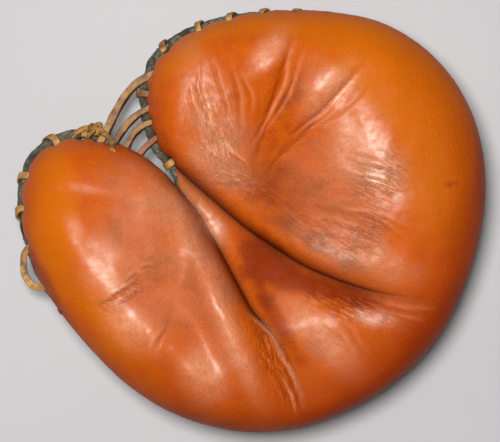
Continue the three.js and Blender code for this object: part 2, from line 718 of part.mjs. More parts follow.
const laces = [
  { name: "finger_lace", stations: fingerLace(), ring: false, width: LACE_WIDTH },
  { name: "thumb_lace", stations: thumbLace(), ring: false, width: LACE_WIDTH },
  ...EDGE_STITCHES.map(({ name, row }) =>
    ({ name, stations: loopPart(row, row, 90, -270, 10), ring: true, width: LACE_WIDTH })),
  ...WEB.map((strand) =>
    ({ name: strand.name, stations: webStrand(strand), ring: true, width: strand.width })),
];
const laceSolids = laces.map(({ name, stations, ring, width }) => {
  const solid = toSolid(laceGeometry(stations, ring, width, LACE_THICK));
  const [holeWidth, holeThick] = [width + 2 * HOLE_PLAY.wide, LACE_THICK + 2 * HOLE_PLAY.thick];
  const hole = toSolid(laceGeometry(stations, ring, holeWidth, holeThick));
  palm = palm.subtract(hole);
  back = back.subtract(hole);
  return { name, solid };
});
const strapHoles = [STRAP.left + STUD.inset, STRAP.right - STUD.inset];
let strap = toSolid(strapGeometry());
for (const x of strapHoles) {
  strap = strap.subtract(studShaft(x, STUD.play));
  back = back.subtract(studShaft(x, STUD.play));
}

const material = (color, roughness) => new THREE.MeshStandardMaterial({ color, roughness, metalness: 0 });
const palmLeather = material(0xc8641a, 0.45);
const backLeather = material(0x9c5424, 0.55);
const weltLeather = material(0x6b6f5c, 0.6);
const rawhide = material(0xd9a552, 0.6);
const studMetal = new THREE.MeshStandardMaterial({ color: 0x8a6a3a, roughness: 0.4, metalness: 0.8 });

// The tables above are drawn round the middle of the palm, this sets the origin under the whole.
const SHIFT = { x: 1.74, y: -1.82 };
const group = new THREE.Group();
group.name = "catchers_mitt";
function add(name, solid, look) {
  const mesh = new THREE.Mesh(toGeometry(solid).translate(SHIFT.x, SHIFT.y, 0), look);
  mesh.name = name;
  group.add(mesh);
}
add("palm", palm, palmLeather);
add("back", back, backLeather);
add("welt", welt, weltLeather);
for (const { name, solid } of laceSolids) add(name, solid, rawhide);
add("wrist_strap", strap, backLeather);
add("stud_left", studSolid(strapHoles[0]), studMetal);
add("stud_right", studSolid(strapHoles[1]), studMetal);

export default group;
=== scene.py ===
import math

import bmesh
import bpy
import numpy as np
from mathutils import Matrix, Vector, noise


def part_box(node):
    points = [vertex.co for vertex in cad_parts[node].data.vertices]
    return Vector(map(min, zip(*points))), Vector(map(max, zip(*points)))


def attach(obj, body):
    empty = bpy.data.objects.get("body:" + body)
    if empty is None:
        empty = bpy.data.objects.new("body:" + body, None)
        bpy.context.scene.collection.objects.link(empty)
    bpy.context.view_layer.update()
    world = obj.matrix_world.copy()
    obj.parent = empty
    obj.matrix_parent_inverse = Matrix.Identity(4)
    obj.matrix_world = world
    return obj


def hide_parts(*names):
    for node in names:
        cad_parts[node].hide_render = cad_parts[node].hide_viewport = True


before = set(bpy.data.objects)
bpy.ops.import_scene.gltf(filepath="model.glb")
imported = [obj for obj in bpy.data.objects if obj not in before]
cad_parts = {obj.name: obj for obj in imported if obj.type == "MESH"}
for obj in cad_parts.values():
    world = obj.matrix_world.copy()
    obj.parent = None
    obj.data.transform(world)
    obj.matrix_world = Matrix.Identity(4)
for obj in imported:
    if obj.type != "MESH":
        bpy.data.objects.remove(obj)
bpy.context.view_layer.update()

# The palm
# One piece of cowhide, oiled until it turned orange, rolled over a thick pad of felt. Two deep
# creases part the thumb's lobe and the fingers' lobe from the channel of the pocket, and the
# leather is puckered where the ball has been caught.
MM = 0.001  # the tables are in millimetres, and Blender's objects in metres
SHIFT = np.array([1.74, -1.82])  # from the middle of the palm to the middle of the whole mitt
PALM_FLOOR = 34.0
CREST = 83.0
ROUNDNESS = 2.2
# x, y, tuck of the seam, width of the rolled edge, height of the belly: from the crotch round the
# thumb, the heel and the fingers back to the crotch
RIM = [
    (-45, 21.5, 5, 14, 44),
    (-54, 30.5, 9, 26, 45),
    (-68, 41, 9, 32, 46),
    (-84.5, 48, 5, 36, 46),
    (-102.5, 51, 0.8, 38, 46),
    (-118.5, 48.5, 0.6, 38, 46),
    (-131, 40, 0.6, 38, 46),
    (-138.5, 25, 1.2, 40, 46),
    (-140.5, 7, 2, 42, 46),
    (-137.5, -14.5, 3.5, 42, 46),
    (-128.5, -37.5, 3.8, 42, 46),
    (-115, -58, 5.5, 42, 47),
    (-97.5, -79, 8, 42, 47),
    (-77, -99, 9, 40, 47),
    (-53, -115, 9, 38, 47),
    (-25, -125.5, 9, 36, 46),
    (0.5, -129.3, 9, 36, 46),
    (30, -126.5, 9, 36, 46),
    (56, -117.5, 9, 38, 46),
    (80.5, -104, 9, 40, 47),
    (101.5, -86.5, 9, 42, 47),
    (117.5, -67, 9, 44, 47),
    (129.5, -43.5, 9, 46, 47),
    (138, -18, 9, 46, 47),
    (143, 10, 9, 46, 47),
    (142.5, 37.5, 9, 46, 47),
    (135.5, 65, 9, 46, 47),
    (122, 89, 8, 46, 47),
    (102.5, 108.5, 7, 44, 47),
    (78, 122, 6.5, 42, 47),
    (51.5, 127.7, 6, 42, 46),
    (24, 129.2, 5, 42, 46),
    (-3.5, 126.5, 3.5, 40, 46),
    (-28, 119.5, 2, 38, 46),
    (-47.5, 108.5, 0.6, 36, 46),
    (-60, 94.5, 0.6, 34, 46),
    (-64.5, 77.5, 1.2, 32, 46),
    (-62.5, 61, 1.6, 28, 45),
    (-56.5, 45.5, 1.6, 20, 45),
    (-47.5, 34, 2.6, 14, 44),
]
ROWS = len(RIM)
HEEL_CORNER, SIDE_CORNER, FINGER_CORNER = 17, 22, 39
# x, y, depth of the crease, width of the roll beside it
THUMB_CREASE = [
    (-45, 21.5, 27, 22),
    (-29.5, 0.5, 31, 26),
    (-15.5, -24.5, 30, 30),
    (-5.5, -43, 24, 30),
    (0.5, -53.5, 17, 28),
    (15.5, -71, 8.5, 24),
    (25, -89, 4, 20),
    (30.5, -108.5, 1.2, 16),
    (30, -126.5, 0, 14),
]
FINGER_CREASE = [
    (-47.5, 34, 27, 16),
    (-34, 22, 29, 19),
    (-18.5, 8.5, 27, 22),
    (-3, -4.5, 25, 24),
    (13, -15.5, 24, 25),
    (31.5, -27, 22, 25),
    (48.5, -34.5, 18, 24),
    (67, -40.5, 12.5, 22),
    (87, -44.5, 6, 20),
    (110, -47, 1.2, 18),
    (129.5, -43.5, 0, 16),
]
# how far the channel's middle stands over its sides, from the crotch to the heel
CHANNEL_CROWN = [1, 1.5, 0.5, -1, 1, 5, 8, 7, 3, 0]
# x, y, length, width, turn in degrees, rise: swells and dents
SWELLS = [
    (6, 24, 46, 34, 20, -17),
    (55, 0, 60, 34, -30, -6),
    (-85, -10, 70, 45, 110, -2),
    (-42, -18, 34, 11, 105, -5),
    (-58, -45, 22, 10, 30, -3.5),
    (35, -92, 60, 34, 20, -9),
    (-9, -69, 42, 9, 113, 4),
    (-68, -58, 62, 11, 134, 3),
    (-52, -44, 46, 10, 132, -3),
    (-31, -66, 30, 7, 112, -3),
    (50, 84, 26, 10, 48, 1.5),
    (14, 96, 22, 9, 40, 1.5),
    (80, 34, 26, 14, 70, 2),
]
# x0, y0, x1, y1, depth, reach to the left, reach to the right: folds that fade out at both ends
FOLDS = [
    (0, 30, 28, 119, 4.8, 6, 18),
    (8, 28, 73, 98, 4.8, 6, 20),
    (25, 10, 96, 18, 2.2, 9, 12),
    (-96, -55, -58, -35, 2.6, 8, 8),
    (-55, -84, -42, -45, 3.5, 8, 9),
]
# x0, y0, x1, y1, sideways bow, depth, width: the narrow wrinkles
WRINKLES = [
    (25, 114, -3, 40, 3, 0.8, 0.9),
    (30, 106, 6, 52, 4, 0.6, 0.8),
    (21, 96, 0, 58, 5, 0.5, 0.8),
    (64, 94, 20, 48, 3, 0.8, 0.9),
    (71, 84, 34, 55, 5, 0.35, 0.8),
    (56, 78, 28, 50, 2, 0.4, 0.8),
    (-30, 98, -18, 44, -4, 0.5, 0.9),
    (-24, 102, -10, 52, -2, 0.5, 0.8),
    (-15, 98, -8, 46, 3, 0.45, 0.9),
    (-36, 84, -26, 50, -2, 0.4, 0.9),
    (-8, 90, -2, 62, 2, 0.4, 0.8),
    (-33, 66, -12, 30, -5, 0.45, 0.9),
    (-24, 52, -2, 34, -2, 0.4, 0.8),
    (-20, 42, 0, 29, 2, 0.4, 0.8),
    (52, 42, 82, 34, 1, 0.3, 0.9),
    (54, 37, 84, 29, 1, 0.3, 0.9),
    (50, 29, 90, 20, 1, 0.35, 0.9),
    (40, 8, 92, -12, 4, 0.4, 1.0),
    (34, 2, 84, -18, 4, 0.35, 0.9),
    (60, 4, 96, -6, 2, 0.3, 0.9),
    (-90, -51, -62, -35, 2, 0.5, 0.9),
    (-85, -56, -60, -39, 2, 0.4, 0.9),
    (-66, -31, -56, -29, 1, 0.3, 0.9),
    (-75, -36, -64, -34, 1, 0.3, 0.9),
    (-58, -80, -47, -62, 1, 0.5, 1.0),
    (-8, -54, 15, -90, 4, 0.45, 1.1),
    (-2, -58, 24, -104, 5, 0.5, 1.0),
    (8, -72, 30, -116, 3, 0.45, 1.0),
    (14, -92, 27, -118, 1, 0.5, 1.0),
    (40, -60, 62, -84, 2, 0.25, 1.0),
    (47, -57, 70, -82, 2, 0.25, 1.0),
    (70, -48, 112, -54, -2, 0.35, 0.9),
    (74, -52, 106, -60, -2, 0.3, 0.9),
]
WAVER, WAVER_SIZE = 3.2, 17.0  # how far folds and wrinkles stray from a straight line
FOLD_ROUND = 0.6  # keeps the bottom of a fold from being a sharp edge
WRINKLE_FADE = 1.1
LIP_AWAY, LIP_WIDE, LIP_TALL = 2.6, 1.5, 0.6  # the lip beside a wrinkle, by its width and depth
PUCKER = (4, 25)  # where the leather gathers at the bottom of the pocket
# how many run out from the pucker, how straight, where they are tallest, reach, height: its pleats
PLEATS = [(3.2, 40, 11, 9, 0.5), (9, 18, 42, 26, 0.5)]
# height, place in the noise, size: the unevenness of the stuffing
UNEVEN = [(1.4, 3.5, 30.0), (0.75, 6.5, 13.0)]
# height, more height where the leather is crumpled, place in the noise, size: its finest folds
CRUMPLED = [(0.08, 0.16, 8.5, 5.0), (0.03, 0.09, 11.5, 2.7)]


def through(points, at, closed):
    """Points and columns of a table at fractional rows, on a smooth curve through its rows."""
    table = np.array(points, float)
    count = len(table)
    if closed:
        first = np.floor(at).astype(int)
        share = (at - first)[:, None]
        p = [table[(first + k) % count] for k in (-1, 0, 1, 2)]
    else:
        first = np.clip(np.floor(at).astype(int), 0, count - 2)
        share = (at - first)[:, None]
        padded = np.vstack([2 * table[0] - table[1], table, 2 * table[-1] - table[-2]])
        p = [padded[first + k] for k in (0, 1, 2, 3)]
    step = [np.sqrt(np.linalg.norm((b - a)[:, :2], axis=1))[:, None] for a, b in zip(p, p[1:])]
    leave = (p[1] - p[0]) / step[0] - (p[2] - p[0]) / (step[0] + step[1]) + (p[2] - p[1]) / step[1]
    arrive = (p[2] - p[1]) / step[1] - (p[3] - p[1]) / (step[1] + step[2]) + (p[3] - p[2]) / step[2]
    leave, arrive = leave * step[1], arrive * step[1]
    square, cube = share**2, share**3
    return (
        p[1] + leave * share
        + (-3 * p[1] + 3 * p[2] - 2 * leave - arrive) * square
        + (2 * p[1] - 2 * p[2] + leave + arrive) * cube
    )


def rim_at(rows):
    """x, y, tuck, round, belly and the outward direction at these rows of the rim."""
    rows = np.asarray(rows, float)
    here = through(RIM, rows, True)
    ahead = through(RIM, rows + 0.01, True) - through(RIM, rows - 0.01, True)
    along = ahead[:, :2] / np.linalg.norm(ahead[:, :2], axis=1)[:, None]
    return here, np.stack([along[:, 1], -along[:, 0]], axis=1)


def seam_points(rows, out, height):
    """Points in millimetres, out from the seam and at that height."""
    here, outward = rim_at(rows)
    flat = here[:, :2] + outward * (np.asarray(out, float) - here[:, 2])[:, None]
    return np.column_stack([flat, np.broadcast_to(height, len(flat))])


def nearest(line, x, y):
    """Distance to a sampled line, and the line's own columns at the nearest place."""
    best = np.full(len(x), np.inf)
    columns = np.zeros((len(x), line.shape[1]))
    for a, b in zip(line, line[1:]):
        dx, dy = b[0] - a[0], b[1] - a[1]
        share = np.clip(((x - a[0]) * dx + (y - a[1]) * dy) / (dx * dx + dy * dy + 1e-9), 0, 1)
        distance = np.hypot(x - a[0] - dx * share, y - a[1] - dy * share)
        closer = distance < best
        best[closer] = distance[closer]
        columns[closer] = a + (b - a) * share[closer, None]
    return best, columns


def shoulder(t):
    """A rolled edge: upright at 0 and level at 1."""
    return (1 - (1 - np.clip(t, 0, 1)) ** ROUNDNESS) ** (1 / ROUNDNESS)


def ramp(t):
    """0 up to 0 and 1 from 1, smooth between."""
    near = np.clip(t, 0, 1)
    return near**2 * (3 - 2 * near)


def deep_share(drop):
    """0 where a crease has faded out, and 1 where it is deep enough for a full roll beside it."""
    return np.clip((drop - CREASE_FADED) / (CREASE_DEEP - CREASE_FADED), 0, 1)


def crease_side(t, drop):
    """The side of a crease: a rolled edge where it is deep, and a soft slope where it fades out."""
    hard = deep_share(drop)
    return shoulder(t) * hard + ramp(t) * (1 - hard)


def softer_min(a, b, blend):
    """The lower of two heights, with the corner between them rounded."""
    h = np.clip(0.5 + 0.5 * (b - a) / blend, 0, 1)
    return b + (a - b) * h - blend * h * (1 - h)


def grain(x, y, depth, size):
    """Smooth noise between -1 and 1, on features of that size in millimetres."""
    depth = np.broadcast_to(depth, x.shape)
    return np.array([noise.noise((u, v, w)) for u, v, w in zip(x / size, y / size, depth)])


def beside(x, y, x0, y0, x1, y1):
    """How far each point is along a line, from 0 to 1, and how many millimetres to its left."""
    length = math.hypot(x1 - x0, y1 - y0)
    ax, ay = (x1 - x0) / length, (y1 - y0) / length
    return ((x - x0) * ax + (y - y0) * ay) / length, (y - y0) * ax - (x - x0) * ay


def in_oval(x, y, cx, cy, long, short, turn):
    """How far each point is along and across a turned oval, where 1 is its edge."""
    c, s = math.cos(math.radians(turn)), math.sin(math.radians(turn))
    return ((x - cx) * c + (y - cy) * s) / long, ((y - cy) * c - (x - cx) * s) / short


def wrinkle_relief(x, y, waver):
    """Depth of the narrow wrinkles, and less than nothing on the lip beside each."""
    depths = np.zeros(len(x))
    for x0, y0, x1, y1, bow, depth, width in WRINKLES:
        along, side = beside(x, y, x0, y0, x1, y1)
        along = np.clip(along, 0, 1)
        side = side - bow * 4 * along * (1 - along) + WAVER * waver
        lip = np.exp(-(((side - LIP_AWAY * width) / (LIP_WIDE * width)) ** 2))
        profile = np.exp(-((side / width) ** 2)) - LIP_TALL * lip
        depths += depth * np.sin(np.pi * along) ** WRINKLE_FADE * profile
    return depths


def waver_at(x, y):
    """How far a fold strays here, as a share of the most."""
    return grain(x, y, 0.5, WAVER_SIZE)


def ridge_height(x, y, fine):
    """Height of the stuffed palm before its edge and creases are rolled, with fine folds or not."""
    z = np.full(len(x), CREST)
    for *oval, rise in SWELLS:
        u, v = in_oval(x, y, *oval)
        z += rise * np.exp(-u * u - v * v)
    waver = waver_at(x, y) if fine else np.zeros(len(x))
    for *ends, depth, left, right in FOLDS:
        along, side = beside(x, y, *ends)
        side = side + WAVER * waver
        reach = np.where(side > 0, left, right)
        profile = np.exp(-np.sqrt(side**2 + FOLD_ROUND) / (0.5 * reach))
        z -= depth * (np.sin(np.pi * np.clip(along, 0, 1)) * profile)
    if not fine:
        return z
    z -= wrinkle_relief(x, y, waver)
    dx, dy = x - PUCKER[0], y - PUCKER[1]
    reach = np.hypot(dx, dy) + 1e-6
    for count, straight, tallest, spread, tall in PLEATS:
        pleats = grain(count * dx / reach, count * dy / reach, reach / straight, 1.0)
        z += tall * pleats * np.exp(-(((reach - tallest) / spread) ** 2))
    z += sum(tall * grain(x, y, place, size) for tall, place, size in UNEVEN)
    used = ramp((x + 0.9 * y + 40) / 50)  # the fingers' side is more crumpled than the thumb's
    used *= 1 - 0.8 * ramp((x - 78) / 26)  # and the outer rim is smooth
    for least, more, place, size in CRUMPLED:
        z += (least + more * used) * grain(x, y, place, size)
    return z


OUTLINE = through(RIM, np.linspace(0, ROWS, ROWS * 6 + 1), True)
THUMB_LINE = through(THUMB_CREASE, np.linspace(0, len(THUMB_CREASE) - 1, 65), False)
FINGER_LINE = through(FINGER_CREASE, np.linspace(0, len(FINGER_CREASE) - 1, 81), False)
CREASE_FADED, CREASE_DEEP = 5.0, 19.0
CORNER_BLEND, HEEL_BLEND = 5.0, 16.0
DETAIL_FADE = 11.0  # the fine folds die out this close to a crease
ROLL_REACH = 40.0  # a crease widens the roll of the rim up to this far away


def blend_beside(drop):
    """How broadly the top of the palm turns into its rolled rim, beside a crease of that depth."""
    return CORNER_BLEND + (HEEL_BLEND - CORNER_BLEND) * (1 - deep_share(drop))


def rolled_at_rim(x, y, height):
    """The height, rolled down to the belly of the palm at its edge."""
    distance, at = nearest(OUTLINE, x, y)
    return at[:, 4] + (height - at[:, 4]) * shoulder(distance / at[:, 3])


def lobe_height(x, y, line):
    """Height of the lobe that lies beside this crease."""
    distance, at = nearest(line, x, y)
    plain = ridge_height(x, y, False)
    top = plain + (ridge_height(x, y, True) - plain) * ramp(distance / DETAIL_FADE)
    foot = ridge_height(at[:, 0], at[:, 1], False) - at[:, 2]
    rolled = foot + (top - foot) * crease_side(distance / at[:, 3], at[:, 2])
    away = np.clip(distance / ROLL_REACH, 0, 1)
    blend = blend_beside(at[:, 2]) * (1 - away) + CORNER_BLEND * away
    return softer_min(rolled, rolled_at_rim(x, y, top), blend)


def channel_height(x, y, down, across):
    """Height of the channel, by the share of the way down it and across it."""
    near = through(THUMB_CREASE, down * (len(THUMB_CREASE) - 1), False)[:, 2]
    far = through(FINGER_CREASE, down * (len(FINGER_CREASE) - 1), False)[:, 2]
    crown = np.interp(down * (len(CHANNEL_CROWN) - 1), range(len(CHANNEL_CROWN)), CHANNEL_CROWN)
    top = ridge_height(x, y, True)
    plain = ridge_height(x, y, False)
    edge = 4 * across * (1 - across)
    drop = near * (1 - across) + far * across
    height = plain + (top - plain) * edge - drop + crown * edge
    return softer_min(height, rolled_at_rim(x, y, plain), blend_beside(drop))


MERGE = 0.02  # points closer than this become one


def mesh_object(name, points, edges, faces):
    """A new object in the scene, from points in the millimetres of the tables."""
    place = np.array(points, float)
    place[:, :2] += SHIFT
    mesh = bpy.data.meshes.new(name)
    mesh.from_pydata((place * MM).tolist(), edges, faces)
    obj = bpy.data.objects.new(name, mesh)
    bpy.context.scene.collection.objects.link(obj)
    return obj


def tidy_mesh(mesh, merge):
    """Joins points closer than this, turns every face outward and shades the whole smoothly."""
    work = bmesh.new()
    work.from_mesh(mesh)
    bmesh.ops.remove_doubles(work, verts=work.verts, dist=merge)
    bmesh.ops.recalc_face_normals(work, faces=work.faces)
    for face in work.faces:
        face.smooth = True
    work.to_mesh(mesh)
    work.free()


class Skin:
    """Collects rows of points in millimetres and the faces between them."""

    def __init__(self):
        self.points = []
        self.faces = []
        self.count = 0

    def add(self, points):
        self.points.append(points)
        self.count += len(points)
        return list(range(self.count - len(points), self.count))

    def level(self, flat, height):
        return self.add(np.column_stack([flat, np.full(len(flat), height)]))

    def strip(self, lower, upper, ring=False):
        n = len(lower)
        for i in range(n if ring else n - 1):
            j = (i + 1) % n
            self.faces.append((lower[i], lower[j], upper[j], upper[i]))

    def loft(self, rings):
        """Joins closed rings from the lowest to the highest, and closes both ends."""
        for lower, upper in zip(rings, rings[1:]):
            self.strip(lower, upper, True)
        self.faces += [tuple(reversed(rings[0])), tuple(rings[-1])]

    def to_object(self, name):
        obj = mesh_object(name, np.vstack(self.points), [], self.faces)
        tidy_mesh(obj.data, MERGE * MM)
        return obj


FINE = 16  # columns of the mesh to a row of the rim
RIM_LEVELS = 14
CREASE_STEPS = 150
CREASE_EASE = 0.7  # the steps are closer where the creases begin and end
CHANNEL_ACROSS = 56
THUMB_RINGS, FINGER_RINGS = 76, 112
RING_GATHER = 1.45  # the rings are closer near the edge
THUMB_POLE, FINGER_POLE = (-68, -30), (6, 23)


def fine_rows(start, stop):
    """Rows of the rim at the columns of the mesh."""
    return np.linspace(start, stop, (stop - start) * FINE + 1)


def belly_line(rows):
    """The line where the rolled edge begins, at these rows of the rim."""
    at, _ = rim_at(rows)
    return np.column_stack([at[:, :2], at[:, 4]])


def channel_grid():
    """Lines of points across the channel, from the crotch down to the heel."""
    even = np.linspace(0, 1, CREASE_STEPS + 1)
    down = even + CREASE_EASE * ((1 - np.cos(np.pi * even)) / 2 - even)
    left = through(THUMB_CREASE, down * (len(THUMB_CREASE) - 1), False)
    right = through(FINGER_CREASE, down * (len(FINGER_CREASE) - 1), False)
    side = np.linspace(0, 1, CHANNEL_ACROSS + 1)
    heel = belly_line(HEEL_CORNER + side * (SIDE_CORNER - HEEL_CORNER))
    crotch = belly_line(ROWS - side * (ROWS - FINGER_CORNER))
    over, rest = side[:, None], 1 - side[:, None]
    grid = []
    for i, t in enumerate(down):
        flat = (
            left[i, None, :2] * rest + right[i, None, :2] * over
            + crotch[:, :2] * (1 - t) + heel[:, :2] * t
            - (crotch[0, :2] * rest + crotch[-1, :2] * over) * (1 - t)
            - (heel[0, :2] * rest + heel[-1, :2] * over) * t
        )
        height = channel_height(flat[:, 0], flat[:, 1], np.full(len(side), t), side)
        grid.append(np.column_stack([flat, height]))
    grid[0], grid[-1] = crotch, heel
    return grid


def build_palm():
    """The rolled rim, the channel and the two lobes, as one closed skin."""
    skin = Skin()
    ring = np.linspace(0, ROWS, ROWS * FINE, endpoint=False)
    below = skin.add(seam_points(ring, 0, PALM_FLOOR))
    skin.faces.append(tuple(reversed(below)))
    here, _ = rim_at(ring)
    for level in range(1, RIM_LEVELS + 1):
        angle = level / RIM_LEVELS * math.pi / 2
        out = here[:, 2] * (1 - math.cos(angle))
        height = PALM_FLOOR + (here[:, 4] - PALM_FLOOR) * math.sin(angle)
        above = skin.add(seam_points(ring, out, height))
        skin.strip(below, above, True)
        below = above

    grid = channel_grid()
    lines = [skin.add(line) for line in grid]
    for upper, lower in zip(lines, lines[1:]):
        skin.strip(lower, upper)

    left = [line[0] for line in grid[1:-1]]
    right = [line[-1] for line in grid[1:-1]]
    thumb_edge = np.vstack([belly_line(fine_rows(0, HEEL_CORNER)), left[::-1]])
    finger_edge = np.vstack([belly_line(fine_rows(SIDE_CORNER, FINGER_CORNER)), right])
    for edge, pole, rings, line in (
        (thumb_edge, THUMB_POLE, THUMB_RINGS, THUMB_LINE),
        (finger_edge, FINGER_POLE, FINGER_RINGS, FINGER_LINE),
    ):
        outer = skin.add(edge)
        for number in range(1, rings):
            inward = (number / rings) ** RING_GATHER
            flat = edge[:, :2] * (1 - inward) + np.array(pole) * inward
            inner = skin.add(np.column_stack([flat, lobe_height(flat[:, 0], flat[:, 1], line)]))
            skin.strip(outer, inner, True)
            outer = inner
        middle = np.array([pole], float)
        top = skin.add(np.column_stack([middle, lobe_height(middle[:, 0], middle[:, 1], line)]))
        for i in range(len(outer)):
            skin.faces.append((outer[i], outer[(i + 1) % len(outer)], top[0]))
    return skin.to_object("palm_leather")


palm = build_palm()

# Rows of the rim where a lace goes through the edge, each with how far it leans to the next row.
FINGER_STITCHES = [
    (34.2, 0.25), (33.1, 0.2), (32.3, 0.2), (31.55, 0.2), (30.8, 0.2), (30.1, 0.2), (29.3, 0.2),
    (28.45, 0.2), (27.75, 0.2), (27.05, 0.2), (26.3, 0.2), (25.55, 0.2), (24.8, 0.2), (24.05, 0.2),
]
THUMB_STITCHES = [(4.1, 0.15), (5.35, 0.5), (7.0, 0.34), (8.1, 0.32), (9.0, 0.1)]
HEEL_STITCHES = [(10.85, 0.1), (11.6, 0.2), (12.35, 0.2)]
EDGE_STITCHES = [("edge_stitch_1", 35.93), ("edge_stitch_2", 38.8)]
# node, thumb's row, heading it leaves in, fingers' row, heading it enters in, width
WEB = [
    ("web_lace_1", 3.5, 60, 35.2, 20, 5.4),
    ("web_lace_2", 3.1, 58, 36.45, 22, 4.6),
    ("web_lace_3", 2.6, 66, 37.0, 8, 4.4),
    ("web_lace_4", 2.0, 75, 37.6, 35, 4.4),
]
SINGLE_ROWS = [row for _, row in EDGE_STITCHES] + [row for web in WEB for row in (web[1], web[3])]
HOLE_DEEP, HOLE_WIDE = 2.7, 3.0  # how far a lace draws the edge in, and how broadly
PULL_INSIDE, PULL_BLEND, PULL_OUTSIDE = 15, 6, 5  # how far in and out from the seam it pulls
TUCK_FREE = 5  # where the seam is tucked under by more than this, the edge is drawn in less
# the dark at a hole is painted shade
MARK_INSIDE, MARK_BLEND = 4, 3  # how far in from the seam a hole is dark
RIM_TOP, RIM_FADE = 66.0, 20.0  # what is done to the rim ends at this height, and over how much


def flat_points(obj):
    """The object's points in the millimetres of the tables above."""
    raw = np.empty(len(obj.data.vertices) * 3)
    obj.data.vertices.foreach_get("co", raw)
    points = raw.reshape(-1, 3) / MM
    points[:, :2] -= SHIFT
    return points


def note(obj, name, values):
    """Stores one number for each corner point of a mesh."""
    layer = obj.data.attributes.new(name, "FLOAT", "POINT")
    layer.data.foreach_set("value", np.ascontiguousarray(values, dtype=np.float32))


def draw_in(obj):
    """Draws the edge of the leather in where a lace pulls on it, and notes how near a hole is."""
    points = flat_points(obj)
    near_hole = np.zeros(len(points))
    rows = [row + lean / 2 for row, lean in FINGER_STITCHES + HEEL_STITCHES]
    rows += [row - lean / 2 for row, lean in THUMB_STITCHES]
    shift = np.zeros((len(points), 2))
    for here, outward in zip(*rim_at(rows + SINGLE_ROWS)):
        seam = here[:2] - outward * here[2]
        away = points[:, :2] - seam
        out = away @ outward
        along = away @ np.array([-outward[1], outward[0]])
        pull = np.exp(-((along / HOLE_WIDE) ** 2))
        pull = pull * np.clip((out + PULL_INSIDE) / PULL_BLEND, 0, 1) * (out < PULL_OUTSIDE)
        low = np.clip((RIM_TOP - points[:, 2]) / RIM_FADE, 0, 1)
        pull *= low * np.clip(2 - here[2] / TUCK_FREE, 0, 1)
        shift -= outward * (HOLE_DEEP * pull)[:, None]
        near_hole = np.maximum(near_hole, pull * np.clip((out + MARK_INSIDE) / MARK_BLEND, 0, 1))
    points[:, :2] += shift + SHIFT
    obj.data.vertices.foreach_set("co", (points * MM).ravel())
    note(obj, "hole", near_hole)


draw_in(palm)


def feed(tree, socket, given):
    """Links a Value or another node's output to the socket, or sets the socket to a constant."""
    given = getattr(given, "socket", given)
    if isinstance(given, bpy.types.NodeSocket):
        tree.links.new(given, socket)
    else:
        socket.default_value = given


def add_node(tree, kind, settings, inputs):
    """Adds a node with these settings. Its inputs are fed by name or number."""
    made = tree.nodes.new(kind)
    for key, setting in (settings or {}).items():
        setattr(made, key, setting)
    for key, given in (inputs or {}).items():
        feed(tree, made.inputs[key], given)
    return made


class Value:
    """A socket that carries a number, so that sums and products of masks can be written out."""

    def __init__(self, shade, socket):
        self.shade = shade
        self.socket = socket

    def math(self, operation, other=None, swap=False):
        pair = [other, self] if swap else [self, other]
        inputs = [self] if other is None else pair
        return self.shade.node("ShaderNodeMath", {"operation": operation}, inputs)

    def __add__(self, other):
        return self.math("ADD", other)

    __radd__ = __add__

    def __mul__(self, other):
        return self.math("MULTIPLY", other)

    __rmul__ = __mul__

    def __sub__(self, other):
        return self.math("SUBTRACT", other)

    def __rsub__(self, other):
        return self.math("SUBTRACT", other, swap=True)

    def clamped(self, low, high):
        """0 below low, 1 above high, and smooth between."""
        settings = {"interpolation_type": "SMOOTHSTEP"}
        return self.shade.node("ShaderNodeMapRange", settings, [self, low, high, 0.0, 1.0])


class Shade:
    """The node tree of one material, ending in a Principled shader."""

    def __init__(self, name):
        self.material = bpy.data.materials.new(name)
        self.material.use_nodes = True
        self.tree = self.material.node_tree
        self.shader = self.tree.nodes["Principled BSDF"]
        self.where = self.node("ShaderNodeTexCoord", output="Object")

    def node(self, kind, settings=None, inputs=(), output=0):
        """Adds a node and gives back an output. inputs is a list, or a dict by name or number."""
        named = inputs if isinstance(inputs, dict) else dict(enumerate(inputs))
        return Value(self, add_node(self.tree, kind, settings, named).outputs[output])

    def feed(self, name, given):
        """Feeds an input of the shader itself."""
        feed(self.tree, self.shader.inputs[name], given)

    def mix(self, share, first, second):
        """Two colours mixed."""
        return self.node("ShaderNodeMix", {"data_type": "RGBA"}, {0: share, 6: first, 7: second}, 2)

    def vector(self, operation, *inputs):
        return self.node("ShaderNodeVectorMath", {"operation": operation}, inputs)

    def noise(self, scale, detail=4.0, roughness=0.55, where=None, output=0):
        inputs = {
            "Vector": where or self.where, "Scale": scale, "Detail": detail, "Roughness": roughness,
        }
        return self.node("ShaderNodeTexNoise", {}, inputs, output)

    def pebbles(self, scale, where=None):
        """The round pebbles of leather grain, 0 in the gaps between them."""
        inputs = {"Vector": where or self.where, "Scale": scale}
        cells = self.node("ShaderNodeTexVoronoi", {"feature": "DISTANCE_TO_EDGE"}, inputs)
        return cells.clamped(0.0, 0.3)

    def attribute(self, name):
        return self.node("ShaderNodeAttribute", {"attribute_name": name}, output=2)

    def finish(self, color, roughness, height, strength, depth, **plain):
        """Feeds the shader, with height as a bump of that depth in metres."""
        self.feed("Base Color", color)
        self.feed("Roughness", roughness)
        for name, given in plain.items():
            self.feed(name.replace("_", " "), given)
        inputs = {"Strength": strength, "Distance": depth, "Height": height}
        self.feed("Normal", self.node("ShaderNodeBump", {}, inputs))
        return self.material


def srgb(red, green, blue):
    """A colour picked in 0 to 255, as the shader wants it."""
    parts = (red, green, blue)
    linear = [((c / 255 + 0.055) / 1.055) ** 2.4 if c > 10 else c / 3294.6 for c in parts]
    return (*linear, 1.0)


